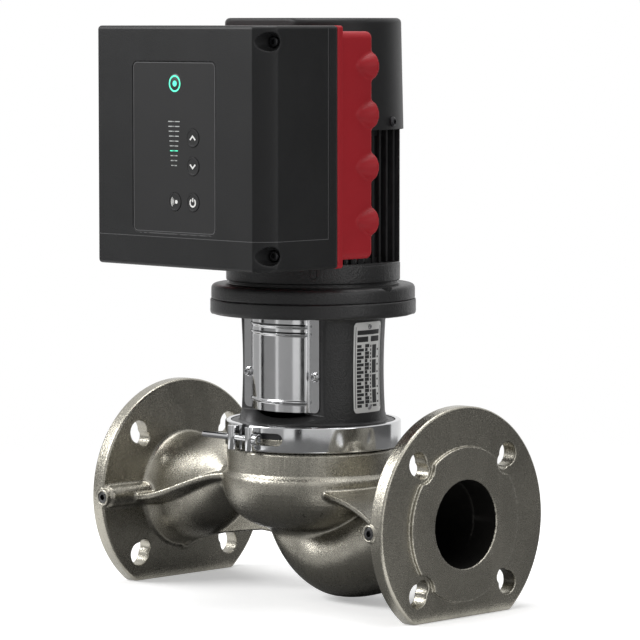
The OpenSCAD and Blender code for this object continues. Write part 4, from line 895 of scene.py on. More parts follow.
class Workshop:
    """Keeps the materials, and hands each finished piece its finish and its body, hiding the imported nodes
    that it stands for.
    """

    def __init__(self) -> None:
        """Build the shared effects and start with no materials."""
        self.effects = Effects()
        self.materials: dict[str, bpy.types.Material] = {}
        self.dressed: set[str] = set()

    def material(self, finish: Finish) -> bpy.types.Material:
        """Return the material of a finish, built when it is first asked for."""
        if finish.name not in self.materials:
            self.materials[finish.name] = finish.material(self.effects)
        return self.materials[finish.name]

    def hand_over(self, piece: bpy.types.Object, slot: Slot, body: Body = Body.ROOT,
                  nodes: Sequence[str] = (), finish: Finish | None = None) -> None:
        """Finish a piece.

        Args:
            piece: The piece.
            slot: The record's slot that it takes its finish from.
            body: The body that it rides on.
            nodes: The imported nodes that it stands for.
            finish: Its own finish, where it differs from the slot's.
        """
        piece.data.materials.clear()
        piece.data.materials.append(self.material(finish or slot.value))
        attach(piece, body.value)
        slot.key
        if nodes:
            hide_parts(*nodes)
            self.dressed.update(nodes)
        log.info("piece %s on %s, slot %s, for %s", piece.name, body.value, slot.key,
                 ", ".join(nodes) or "nothing")

    def dress_node(self, node: str, slot: Slot) -> None:
        """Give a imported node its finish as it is."""
        item = frame["nodes"][node]
        for material_slot in item.material_slots:
            material_slot.material = self.material(slot.value)
        if not item.material_slots:
            item.data.materials.append(self.material(slot.value))
        self.dressed.add(node)
        log.info("node %s, slot %s", node, slot.key)


# Shared sizes, in millimetres round the shaft axis

FLANGE_R = 92.5
FLANGE_BACK = 153.8
FOOT_Z = -73.7
SPLIT_Z = 60.0
MOTOR_Z = 169.0
SEAT_LOW = 156.5
MOTOR_BOLTS_R = 73.7
COWL_Z = 306.0
COWL_TOP = 395.0
BOX_MID = 294.75
COVER_FRONT = 153.0
COVER_REAR = 73.2
RECESS_X = 94.0
RECESS_Z = 81.9
RECESS_Y = 132.0
POCKET_X = 97.0
POCKET_FLOOR = 141.5
GUARD_SCREW = (38.2, 108.9)
PANEL_Z = 294.2
PANEL_FACE = 152.7
STATUS_PLACE = (1.0, 49.8)
KEY_PLACES = ((21.5, 7.8), (21.5, -14.2), (0.8, -42.2), (21.5, -42.2))
DIAGONALS = [math.radians(45 + 90 * k) for k in range(4)]


class SubAssembly:
    """One part of the product."""

    def build(self, shop: Workshop) -> None:
        """Make the pieces and hand them over.

        Args:
            shop: Gives the finishes and takes the pieces.
        """
        raise NotImplementedError


def waist(z: Share) -> Share:
    """Return the radius of the stool's body at a level."""
    t = np.clip((z - 69.8) / (SEAT_LOW - 69.8), 0, 1)
    return 59.7 - 1.7 * np.sin(math.pi * t)


@dataclass(frozen=True)
class Casing(SubAssembly):
    """The cast pump housing with its ports, and the plugs in its tappings.

    Where a pair gives sizes of the limbs, the first is the outside and the second the passage. The fillet is
    the round between bowl and limbs, the wall is the casting's thickness, and the flare is how far the limbs
    widen at the flanges and over what length.
    """

    voxel: float = 1.15
    keep: float = 0.34
    fillet: float = 7.0
    wall: float = 6.0
    port_r: Pair = (44.0, 34.2)
    flare: Pair = (6.0, 20.0)
    start_x: float = 157.8
    end_x: float = 57.8
    elbow_mid: float = -39.5
    turn: Pair = (39.5, -6.0)
    square: float = 1.7
    bore_r: float = 35.0
    bore_end: float = 146.0
    face_r: float = 61.0
    bolt_circles: Pair = (72.5, 65.0)
    bolt_holes: Pair = (9.5, 6.5)
    tap_r: float = 7.0
    plug_face: float = -93.1

    def limb_half(self, x: np.ndarray, t: np.ndarray, ends: Pair, inner: bool) -> np.ndarray:
        """Return a limb's half axis.

        Args:
            x: Distance from the shaft toward the limb's port.
            t: Share of the way from the port to the limb's end.
            ends: Half axis at the end, of the outside and of the passage.
            inner: Whether it is the passage's.

        Returns:
            One half axis for each point.
        """
        if inner:
            return mix(self.port_r[1], ends[1], t)
        flare = self.flare[0] * (1 - np.clip((self.start_x - x) / self.flare[1], 0, 1)) ** 2
        return mix(self.port_r[0], ends[0], t) + flare

    def suction(self, p: Points, inset: float) -> np.ndarray:
        """Return the distance to the suction limb, or to its passage for an inset of the wall."""
        x, y, z = p.T
        inner = inset > 0
        t = np.clip((self.start_x - x) / (self.start_x - self.turn[0]), 0, 1)
        half_h = self.limb_half(x, ease(t), (31.5, 25.5), inner)
        half_w = self.limb_half(x, t, (37.5, 31.5), inner)
        run = ellipse_distance(y, z - self.elbow_mid * ease(t), half_w, half_h)
        dx, dz = self.turn[0] - x, self.turn[1] - z
        a = np.clip(np.where(dz > 0, np.arctan2(dx, np.maximum(dz, 1e-6)), math.pi / 2), 0, math.pi / 2)
        reach = np.where(dz > 0, np.hypot(dx, dz), dx)
        corner = (np.abs(np.cos(a)) ** self.square + np.abs(np.sin(a)) ** self.square) ** (-1 / self.square)
        near = 2.0 + inset
        far = (mix(59.0, 71.0, a / (math.pi / 2)) + 6.0) * corner - inset
        bend = ellipse_distance(y, reach - (near + far) / 2, 37.5 - inset, (far - near) / 2)
        bend = np.maximum(bend, z - (self.turn[1] + (2.0 if inner else 0.0)))
        return np.maximum(np.where(x >= self.turn[0], run, bend), x - self.start_x)

    def discharge(self, p: Points, inset: float) -> np.ndarray:
        """Return the distance to the discharge limb, or to its passage for an inset of the wall."""
        x, y, z = -p[:, 0], p[:, 1], p[:, 2]
        t = np.clip((self.start_x - x) / (self.start_x - self.end_x), 0, 1)
        half_h = self.limb_half(x, np.minimum(1, t / 0.88) ** 4, (22.0, 16.0), inset > 0)
        half_w = self.limb_half(x, t, (38.0, 32.0), inset > 0)
        d = ellipse_distance(y, z - 20.0 * ease(t), half_w, half_h)
        return np.maximum(np.maximum(d, x - self.start_x), self.end_x - x)

    @staticmethod
    def bowl(p: Points) -> np.ndarray:
        """Return the distance to the bowl, its neck and the lower wedge flange."""
        outline = [(0, -17.5), (30, -17.5), *arc((30, 20), (43.8, 37.5), -75, 0, 12), (73.6, 24.6),
                   (72.9, 27), (71.2, 29), (70.2, 30.6), (70, 46.7), (68.5, 48.6), (64.9, 48.6), (64.9, 50.2),
                   (66.4, 50.2), (69.2, 54.4), (69.2, SPLIT_Z), (0, SPLIT_Z)]
        return lathe_distance(p, outline)

    @staticmethod
    def cavity(p: Points) -> np.ndarray:
        """Return the distance to the space round the impeller, open at the top."""
        outline = [(0, -4), (55.8, -4), *arc((55.8, 8), (12, 12), -60, 0, 4), (67.8, 26), (56.2, 45),
                   (56.2, 50), (60.6, 50), (60.6, 63), (0, 63)]
        return np.minimum(lathe_distance(p, outline), disc_distance(p, 2, (0, 0, -6), 37.0, 3.0))

    @staticmethod
    def rib(p: Points, start: Triple, end: Triple, level: np.ndarray) -> np.ndarray:
        """Return the distance to a pair of parting ribs whose noses follow a line.

        Args:
            p: Points to measure from, with X counted toward the rib's port.
            start: First point of the nose.
            end: Last point of the nose.
            level: Height of the nose beside each point.

        Returns:
            One distance for each point.
        """
        s = np.clip((p[:, 0] - start[0]) / (end[0] - start[0]), 0, 1)
        nose = mix(start[1], end[1], s)
        y = np.abs(p[:, 1])
        depth = np.maximum(nose - y, 0)
        upper = p[:, 2] - level - 2.0 - 0.03 * depth
        lower = level - 2.6 - 11.0 * depth / (nose - 20.0) - p[:, 2]
        d = both(both(y - nose, upper, 1.6), lower, 1.6)
        return np.maximum(np.maximum(d, start[0] - p[:, 0]), p[:, 0] - end[0])

    def ribs(self, p: Points) -> np.ndarray:
        """Return the distance to all four parting ribs."""
        s = np.clip((p[:, 0] - 56.0) / 95.8, 0, 1)
        inlet = self.rib(p, (56.0, 45.0, 17.0), (153.0, 83.5, 2.5), mix(17.0, 2.5, s**2.4))
        q = p * np.array((-1, 1, 1), np.float32)
        s = np.clip((q[:, 0] - 62.0) / 85.8, 0, 1)
        outlet = self.rib(q, (62.0, 42.0, 22.0), (153.0, 66.5, -1.0), mix(22.0, -1.0, ease(s)))
        return np.minimum(inlet, outlet)

    @staticmethod
    def web(p: Points) -> np.ndarray:
        """Return the distance to the web between the limbs and its pointed gusset."""
        x, y, z = p.T
        plate = outline_distance(x, z, [(-145.8, -36), (-119.8, -36), (-98.8, -32.5), (-73.8, -28.5),
                                        (-55.8, -26), (-27.5, -27.5), (-19.5, -13.5), (-133.8, 0)])
        point = outline_distance(x, z, [(-154.8, -36), (-154.8, -50), (-148.8, -47), (-137.8, -36)])
        return union(both(plate, np.abs(y) - 5.5, 1.5), both(point, np.abs(y) - 2.75, 1.2), 2.0)

    def port(self, p: Points) -> tuple[np.ndarray, np.ndarray]:
        """Return the solid and the cuts of the nearer port, with X folded to be positive."""
        q = np.stack([np.abs(p[:, 0]), p[:, 1], p[:, 2]], 1)
        plate = disc_distance(q, 0, (160.4, 0, 0), FLANGE_R, 6.6, 2.2)
        face = disc_distance(q, 0, (166.0, 0, 0), self.face_r, 4.0, 0.7)
        holes = nothing(p)
        for a in DIAGONALS:
            c, s = math.cos(a), math.sin(a)
            face = cut(face, disc_distance(q, 0, (171.0, 69.75 * c, 69.75 * s), 14.0, 4.0), 0.6)
            wide, small = (np.hypot(q[:, 1] - circle * c, q[:, 2] - circle * s) - radius
                           for circle, radius in zip(self.bolt_circles, self.bolt_holes))
            holes = np.minimum(holes, np.maximum(np.minimum(wide, small), 148.0 - q[:, 0]))
        boss = disc_distance(q, 1, (FLANGE_BACK, -46.75, 0), self.tap_r, 46.75, 1.0)
        back = disc_distance(q, 1, (FLANGE_BACK, -44.75, 0), 9.0, 44.75, 3.5)
        solid = union(union(union(plate, face, 0.5), back, 3.0), boss, 1.2)
        return solid, np.minimum(holes, disc_distance(q, 1, (FLANGE_BACK, -89.0, 0), 4.95, 7.5))

    def field(self, p: Points) -> np.ndarray:
        """Return the distance to the whole casting."""
        limbs = np.minimum(self.suction(p, 0.0), self.discharge(p, 0.0))
        body = union(self.bowl(p), limbs, self.fillet)
        body = union(body, self.web(p), 4.0)
        body = union(body, self.ribs(p), 2.5)
        solid, cuts = self.port(p)
        body = union(body, solid, 3.0)
        body = both(body, FOOT_Z - p[:, 2], 1.0)
        body = cut(body, cuts, 0.9)
        return cut(body, self.inside(p), 0.8)

    def inside(self, p: Points) -> np.ndarray:
        """Return the distance to the passages and the space round the impeller."""
        bore = np.maximum(np.hypot(p[:, 1], p[:, 2]) - self.bore_r, self.bore_end - np.abs(p[:, 0]))
        passages = np.minimum(self.suction(p, self.wall), self.discharge(p, self.wall))
        return np.minimum(np.minimum(bore, passages), self.cavity(p))

    def build(self, shop: Workshop) -> None:
        """Make the housing and its plugs."""
        body = cast_piece("casing_casting", self.field, (-170, -94, FOOT_Z), (170, 93, 93), self.voxel,
                          self.keep)
        shop.hand_over(body, Slot.CAST_STAINLESS, nodes=["pump_housing"])
        self.paint_passage_shade(body, shop)
        outline = rounded(pin(4.85, -9, 0), [0, 0, 0.8, 0], closed=False)
        for end, node in ((1, "inlet_tapping_plug"), (-1, "outlet_tapping_plug")):
            place = facing_front(end * FLANGE_BACK, self.plug_face, 0)
            plug = screw_with_drive(f"{node}_turned", outline, place, 48, polygon([2.7], 6), 8, -4)
            shop.hand_over(bevel(plug, 0.15, 1), Slot.ZINC_STEEL, nodes=[node], finish=TAPPING_PLUG)

    def paint_passage_shade(self, body: bpy.types.Object, shop: Workshop) -> None:
        """Paint the faces inside the passages near-black, as painted shade where no light reaches."""
        mesh = body.data
        centres = np.empty(len(mesh.polygons) * 3)
        mesh.polygons.foreach_get("center", centres)
        places = (centres.reshape(-1, 3) / MM - (SHAFT_X, 0, 0)).astype(np.float32)
        deep = (np.abs(self.inside(places)) < 0.7) & (np.abs(places[:, 0]) < 168.0)
        mesh.materials.append(shop.material(PASSAGE_SHADE))
        mesh.polygons.foreach_set("material_index", deep.astype(np.int32))
        mesh.update()


@dataclass(frozen=True)
class Stool(SubAssembly):
    """The motor stool with its windows, its name plate and the bolts under its flange."""

    voxel: float = 1.1
    keep: float = 0.36
    flange_r: float = 83.4
    spigot_r: float = 69.2
    plate_a: float = 4.5
    plate_half_a: float = 16.0
    plate_low: float = 79.6
    plate_high: float = 152.5
    field_rows: int = 17
    patch_step: Pair = (1.5, 8.0)
    sill: float = 78.0
    sill_drop: float = 7.4
    flat: float = 35.0

    def field(self, p: Points) -> np.ndarray:
        """Return the distance to the stool."""
        side = [(float(waist(z)), z) for z in np.linspace(71.8, 152, 11)]
        corners = [(0, SPLIT_Z), (self.spigot_r, SPLIT_Z), (self.spigot_r, 65.6), (66.4, 69.8), (60.2, 70.1),
                   *side, (60.6, 156.3), (self.flange_r, SEAT_LOW), (self.flange_r, MOTOR_Z), (0, MOTOR_Z)]
        radii = [0, 0.4, 0.8, 0.8, 1.5] + [0] * len(side) + [3.0, 3.4, 1.4, 0]
        body = lathe_distance(p, rounded(corners, radii))
        x, y, z = p.T
        pads, wells = nothing(p), nothing(p)
        for k, a in enumerate(DIAGONALS):
            u, v = x * math.cos(a) + y * math.sin(a), y * math.cos(a) - x * math.sin(a)
            if k % 2 == 0:
                pad = both(round_box(u - 76, v, 7, 9, 2.5), np.abs(z - SEAT_LOW) - 3, 1.2)
                pads = np.minimum(pads, np.maximum(pad, np.hypot(x, y) - 82.6))
            rod = np.hypot(u - MOTOR_BOLTS_R, v)
            wells = np.minimum(wells, np.maximum(rod - 7.5, np.abs(z - 157.5) - 6))
            wells = np.minimum(wells, np.maximum(rod - 4.5, np.abs(z - 161) - 12))
        body = union(body, pads, 1.5)
        room = lathe_distance(p, [(0, 66), (22, 66), (38, 69), (46, 80), (46, 172), (0, 172)])
        room = np.minimum(room, np.maximum(np.hypot(x, y) - 11, np.abs(z - 63) - 6))
        depth = np.abs(y)
        out = np.clip((depth - self.flat) / 24.7, 0, 1)
        floor = self.sill - self.sill_drop * (1 - (1 - out) ** 2)
        window = np.maximum(np.maximum(self.flat - depth, 0.9 * (floor - z)), z - SEAT_LOW + 0.2)
        body = cut(body, window, 1.6)
        body = cut(body, np.minimum(room, wells), 0.8)
        holes = np.hypot(np.abs(x) - GUARD_SCREW[0], z - GUARD_SCREW[1]) - 2.5
        return cut(body, np.maximum(holes, depth - self.flat - 1), 0.2)

    def patch(self, name: str, angles: Pair, levels: Pair, lift: float, thickness: float,
              corner: float = 0.0) -> bpy.types.Object:
        """Make a thin sheet that lies round the stool's body.

        Args:
            name: Name of the piece.
            angles: First and last angle in degrees.
            levels: Lowest and highest level.
            lift: Gap between the body and the sheet.
            thickness: Thickness of the sheet.
            corner: Radius of the sheet's corners.

        Returns:
            The new object.
        """
        sections = []
        steps = max(2, round((angles[1] - angles[0]) / self.patch_step[0]))
        rows = max(2, round((levels[1] - levels[0]) / self.patch_step[1]))
        for i in range(steps + 1):
            angle = mix(angles[0], angles[1], i / steps)
            c, s = math.cos(math.radians(angle)), math.sin(math.radians(angle))
            edge = math.radians(min(angle - angles[0], angles[1] - angle)) * float(waist(levels[0]))
            short = max(0.0, corner - edge)
            inset = corner - math.sqrt(max(0.0, corner**2 - short**2))
            zs = [mix(levels[0] + inset, levels[1] - inset, k / rows) for k in range(rows + 1)]
            line = [(waist(z) + lift + thickness, z) for z in zs] + [(waist(z) + lift, z) for z in zs[::-1]]
            sections.append([(r * c, r * s, z) for r, z in line])
        return sweep(name, sections)

    def plate_fields(self) -> list[tuple[float, float, float, float]]:
        """Return the plate's dark fields as left, right, low and high shares of its width and height."""
        fields = [(0.10, 0.90, 0.86, 0.91), (0.10, 0.46, 0.78, 0.84), (0.56, 0.90, 0.78, 0.84),
                  (0.045, 0.06, 0.05, 0.95), (0.94, 0.955, 0.05, 0.95)]
        row = 0.70 / self.field_rows
        for k in range(self.field_rows):
            columns = [(0.10, 0.24 + 0.08 * (k % 2), 0.78), (0.36, 0.51 - 0.06 * (k % 3 == 0), 0.9),
                       (0.55, 0.59, 0.6), (0.63, 0.80, 1.0 if k % 4 else 0.6)]
            if k % 2:
                columns.append((0.84, 0.90, 0.5))
            low = 0.06 + row * k
            fields += [(left, right, low, low + share * row) for left, right, share in columns]
        return fields

    def build_plate(self, shop: Workshop) -> None:
        """Make the name plate, its unlettered fields and its rivets."""
        a0, a1 = self.plate_a - self.plate_half_a, self.plate_a + self.plate_half_a
        z0, z1 = self.plate_low, self.plate_high
        plate = self.patch("name_plate_sheet", (a0, a1), (z0, z1), 0.05, 0.6, 2.5)
        shop.hand_over(bevel(plate, 0.2, 1), Slot.BARE_PLATE, nodes=["name_plate"])
        prints = [self.patch("field", (mix(a0, a1, left), mix(a0, a1, right)),
                             (mix(z0, z1, low), mix(z0, z1, high)), 0.63, 0.06)
                  for left, right, low, high in self.plate_fields()]
        shop.hand_over(join("plate_dark_fields", prints), Slot.BARE_PLATE, finish=DARK_PRINT)
        head = rounded([(2.1, 0), (1.7, 0.8), (0, 0.9)], [0, 0.4, 0], closed=False)
        rivets = [lathe("rivet", [(0, -7), (1.0, -7), (1.0, 0), *head],
                        facing_out(self.plate_a, float(waist(z)) + 0.7, z), 24) for z in (z0 + 4, z1 - 4)]
        shop.hand_over(join("plate_rivet_heads", rivets), Slot.ZINC_STEEL, nodes=["plate_rivets"])

    def build(self, shop: Workshop) -> None:
        """Make the stool, its plate and its bolts."""
        r = self.flange_r
        body = cast_piece("stool_casting", self.field, (-r, -r, SPLIT_Z), (r, r, MOTOR_Z), self.voxel,
                          self.keep)
        shop.hand_over(body, Slot.COATED_IRON, nodes=["motor_stool"])
        self.build_plate(shop)
        shop.hand_over(soften("stool_bolts", 0.5), Slot.ZINC_STEEL, nodes=["stool_bolts"])


@dataclass(frozen=True)
class Clamp(SubAssembly):
    """The two-flank clamp band with its barrels and its long bolt."""

    outer: float = 71.5
    inner: float = 69.5
    half: float = 10.45
    lip: float = 66.9
    barrel_r: float = 4.3
    barrel_y: float = -75.2
    barrels: Pair = (-15.5, 4.5)
    bolt_r: float = 2.5
    thread_pitch: float = 0.8
    thread_length: float = 34.0

    def wedge(self, r: float) -> float:
        """Return half the height between the band's flanks at a radius."""
        return 5.6 + (69.2 - r) * 1.5 + 0.3 * math.sqrt(1 + 1.5**2)

    def build(self, shop: Workshop) -> None:
        """Make the band, the barrels and the bolt."""
        h, low, high = self.half, self.wedge(self.lip), self.wedge(self.inner)
        outline = rounded([(self.lip, -h), (self.outer, -h), (self.outer, h), (self.lip, h), (self.lip, low),
                           (self.inner, high), (self.inner, -high), (self.lip, -low)],
                          [0.4, 1.8, 1.8, 0.4, 0.2, 0.3, 0.3, 0.2], 6)
        band = lathe("clamp_band_sheet", outline, Matrix.Translation((0, 0, SPLIT_Z)), 240)
        gap = [(-10, -20), (-1, -20), (-1, 20), (-10, 20)]
        window = [(8.5, -5.1), *arc((25.4, 0), (5.1, 5.1), -90, 90, 16), (8.5, 5.1)]
        for name, opening in (("gap", gap), ("window", window)):
            boolean(band, prism(name, opening, 40, facing_front(0, -40, SPLIT_Z)))
        shade(band.data, 35)
        shop.hand_over(band, Slot.POLISHED_STAINLESS, nodes=["clamp_band"])
        parts = []
        for x in self.barrels:
            r = self.barrel_r
            hook = [*arc((x, self.barrel_y), (r, r), 180, 360, 18), (x + r, -71.0 + abs(x) * 0.09),
                    (x - r, -71.0 + abs(x) * 0.12)]
            part = prism("barrel", hook, 2 * h - 2, Matrix.Translation((0, 0, SPLIT_Z - h + 1)))
            bolt_way = lathe("way", pin(2.7, -12, 12), self.along_bolt(x), 24)
            parts.append(bevel(boolean(part, bolt_way), 0.5, 2))
        shop.hand_over(join("clamp_barrel_pair", parts), Slot.POLISHED_STAINLESS, nodes=["clamp_barrels"])
        self.build_bolt(shop)

    def along_bolt(self, x: float) -> Matrix:
        """Return a placing on the bolt's axis whose Z runs along it."""
        return Matrix.Translation((x, self.barrel_y, SPLIT_Z)) @ Matrix.Rotation(math.pi / 2, 4, "Y")

    def build_bolt(self, shop: Workshop) -> None:
        """Make the bolt with its thread and its socket head."""
        end = self.barrels[1] + self.barrel_r + 1.0
        r, pitch = self.bolt_r, self.thread_pitch
        outline: list[Pair] = [(0, -50), (r - 0.5, -50)]
        for k in range(round(self.thread_length / pitch)):
            z = -49.5 + k * pitch
            outline += [(r - 0.42, z), (r, z + pitch / 2)]
        head = rounded([(4.5, end), (4.5, end + 4.8), (0, end + 4.8)], [0, 0.9, 0], closed=False)
        outline += [(r, -15.0), (r, end), *head]
        bolt = screw_with_drive("clamp_bolt_turned", outline, self.along_bolt(0), 40, polygon([2.4], 6), 6,
                                end + 2)
        shade(bolt.data, 30)
        shop.hand_over(bolt, Slot.POLISHED_STAINLESS, nodes=["clamp_bolt"])


@dataclass(frozen=True)
class Guards(SubAssembly):
    """The two sheet guards over the stool's windows and their screws."""

    low: float = 80.2
    height: float = 75.8
    bulge_r: float = 50.0
    bulge_half: float = 31.5
    half: float = 43.0
    flat: float = 35.0
    sheet: float = 1.0
    corner: float = 5.0
    beads: tuple[float, ...] = (8.0, 62.6, 68.8)
    fold: float = 1.6

    def plan(self, inset: float, bead: float, cut_back: float) -> list[Pair]:
        """Return one half-open line of the guard's plan, from the left strip to the right one.

        Args:
            inset: Distance of the line behind the sheet's outer face.
            bead: How far a bead pushes the bulge out at this level.
            cut_back: How much the strips are shortened at this level.

        Returns:
            Points of X and Y.
        """
        r = self.bulge_r - inset + bead
        edge = math.sqrt(self.bulge_r**2 - self.bulge_half**2)
        side = self.bulge_half - inset
        strip_y = -self.flat - self.sheet + inset
        turns = [k / 6 * math.pi / 2 for k in range(7)]
        flank = [(side + self.fold * (1 - math.sin(t)), strip_y - self.fold * (1 - math.cos(t)))
                 for t in turns]
        right = [(self.half - cut_back, strip_y), *flank, (side, -edge + 1.5)]
        start = math.degrees(math.asin((side - 0.4) / r))
        bulge = arc((0, 0), (r, r), -90 + start, -90 - start, 56)
        left = [(-x, y) for x, y in reversed(right)]
        return [*right, *bulge, *left]

    def lift(self, z: float) -> float:
        """Return how far the beads push the sheet out at a level above the guard's lower edge."""
        return sum(0.9 * math.exp(-(((z - b) / 1.15) ** 4)) for b in self.beads)

    def build(self, shop: Workshop) -> None:
        """Make both guards and all four screws."""
        steps = (-2, -1.5, -1.1, -0.7, 0, 0.7, 1.1, 1.5, 2)
        levels = sorted({*np.linspace(0, self.height, 24), *[b + d for b in self.beads for d in steps],
                         0.3, 0.9, 1.8, 5.0})
        for side, node in ((1, "front_coupling_guard"), (-1, "rear_coupling_guard")):
            sections = []
            for level in levels:
                short = max(0.0, self.corner - level)
                cut_back = self.corner - math.sqrt(self.corner**2 - short**2)
                outer, inner = (self.plan(inset, self.lift(level), cut_back) for inset in (0.0, self.sheet))
                sections.append([(x, side * y, self.low + level) for x, y in outer + inner[::-1]])
            guard = sweep(f"{node}_sheet", sections)
            shade(guard.data, 40)
            shop.hand_over(guard, Slot.POLISHED_STAINLESS, nodes=[node])
        head = rounded([(4.0, 0), (4.0, 0.9), (3.0, 1.3), (2.9, 3.0), (0, 3.0)], [0, 0.3, 0.3, 0.5, 0],
                       closed=False)
        screws = []
        for turn in (0, math.pi):
            for x in (GUARD_SCREW[0], -GUARD_SCREW[0]):
                seat = facing_front(x, -self.flat - self.sheet, GUARD_SCREW[1])
                place = Matrix.Rotation(turn, 4, "Z") @ seat
                screws.append(screw_with_drive("screw", [(0, -9), (2.35, -9), (2.35, 0), *head], place, 48,
                                               polygon([1.9, 1.35], 12), 4, 1.4))
        shop.hand_over(join("guard_screw_set", screws), Slot.ZINC_STEEL, nodes=["guard_screws"],
                       finish=Slot.POLISHED_STAINLESS.value)


@dataclass(frozen=True)
class Motor(SubAssembly):
    """The motor's outside: lower end shield, finned housing and fan cover."""

    voxel: float = 1.1
    keep: float = 0.3
    screw_a: float = 15.0
    screw_z: float = COWL_Z + 6.5
    slots: int = 30

    def shield(self) -> bpy.types.Object:
        """Make the lower end shield with its flange and drain notches."""
        corners = [(14, 165), (45.85, 165), (45.85, 169), (82.6, 169), (82.6, 181), (68.0, 181), (68.0, 184),
                   (70.5, 184), (70.5, 198), (69.7, 198), (69.7, 199.5), (48.5, 199.5), (48.5, 175),
                   (32, 175), (31, 201.5), (26.01, 201.5), (26.01, 186.5), (22, 186.5), (22, 183.5),
                   (14, 183.5)]
        radii = [0, 0.3, 0, 1.4, 4.4, 0.6, 0.3, 1.2, 0.8, 0.2, 0.2, 0.4, 1, 3, 0.4, 0.2, 0, 0, 0.3, 0.3]
        shield = lathe("end_shield_casting", rounded(corners, radii), segments=240)
        notch = rounded([(-9, 1), (-7, 0), (0, -4.4), (7, 0), (9, 1)], [0, 3, 5, 3, 0])
        for angle in (2.0, 182.0):
            boolean(shield, prism("notch", notch, 8, facing_out(angle, 77, 181)))
        groove = [*arc((0, 0), (3.25, 3.25), 180, 360, 14), (3.25, 13), (2.15, 13),
                  *arc((0, 0), (2.15, 2.15), 360, 180, 14), (-2.15, 13), (-3.25, 13)]
        boolean(shield, prism("groove", groove, 3, facing_out(-44.7, 69.3, 191.3)))
        for a in DIAGONALS:
            place = Matrix.Translation((MOTOR_BOLTS_R * math.cos(a), MOTOR_BOLTS_R * math.sin(a), MOTOR_Z))
            boolean(shield, lathe("hole", pin(3.95, -1, 9.5), place, 32))
        shade(shield.data, 40)
        return shield

    def fan_cover(self, p: Points) -> np.ndarray:
        """Return the distance to the fan cover."""
        x, y, z = p.T

        def form(inset: float, rounding: float) -> np.ndarray:
            """Return the cover's outer form, or the room inside it for an inset of its wall."""
            low = COWL_Z - (1.0 if inset else 0.0)
            outline = [(0, low), (73.0 - inset, low), *arc((67.0 - inset, 391.0 - inset), (4, 4), 0, 90, 6),
                       (0, COWL_TOP - inset)]
            return both(lathe_distance(p, outline), -59.7 + inset - y, rounding)

        shell = cut(form(0.0, 2.0), form(2.0, 1.0), 0.6)
        radius, turn = np.hypot(x, y), np.arctan2(y, x)
        step = 2 * math.pi / self.slots
        k = np.round(turn / step)
        rest = turn - k * step
        start = np.where(np.mod(k, 2) == 0, 17.0, 31.0)
        along, across = radius * np.cos(rest), radius * np.sin(rest)
        slot = np.hypot(np.maximum(np.maximum(start + 2 - along, along - 53.0), 0), across) - 2.0
        shell = cut(shell, np.maximum(slot, 387.0 - z), 0.7)
        quarter = np.round((turn - math.radians(self.screw_a)) / (math.pi / 2)) * math.pi / 2
        rest = turn - math.radians(self.screw_a) - quarter
        hole = np.hypot(radius * np.sin(rest), z - self.screw_z) - 2.2
        return cut(shell, np.maximum(hole, 40 - radius), 0.2)

    def build(self, shop: Workshop) -> None:
        """Make the motor's visible pieces."""
        shop.hand_over(self.shield(), Slot.COATED_IRON, nodes=["motor_end_shield"])
        for node, width in (("stator_housing", 0.35), ("fan_end_shield", 0.4)):
            shop.hand_over(soften(node, width, 1, 50), Slot.BLACK_ALUMINIUM, nodes=[node])
        cover = cast_piece("fan_cover_moulding", self.fan_cover, (-73, -60, COWL_Z), (73, 73, COWL_TOP),
                           self.voxel, self.keep)
        shop.hand_over(cover, Slot.BLACK_PLASTIC, nodes=["fan_cover"])
        head = rounded([(4.0, 0), (4.0, 1.3), (2.6, 2.6), (0, 2.6)], [0, 0.8, 0.4, 0], closed=False)
        screws = [screw_with_drive("screw", [(0, -15), (1.9, -15), (1.9, 0), *head],
                                   facing_out(self.screw_a + 90 * k, 72.9, self.screw_z), 40,
                                   polygon([2.0], 6), 3, 1.2) for k in range(3)]
        shop.hand_over(join("fan_cover_screw_set", screws), Slot.DARK_FASTENERS, nodes=["fan_cover_screws"])


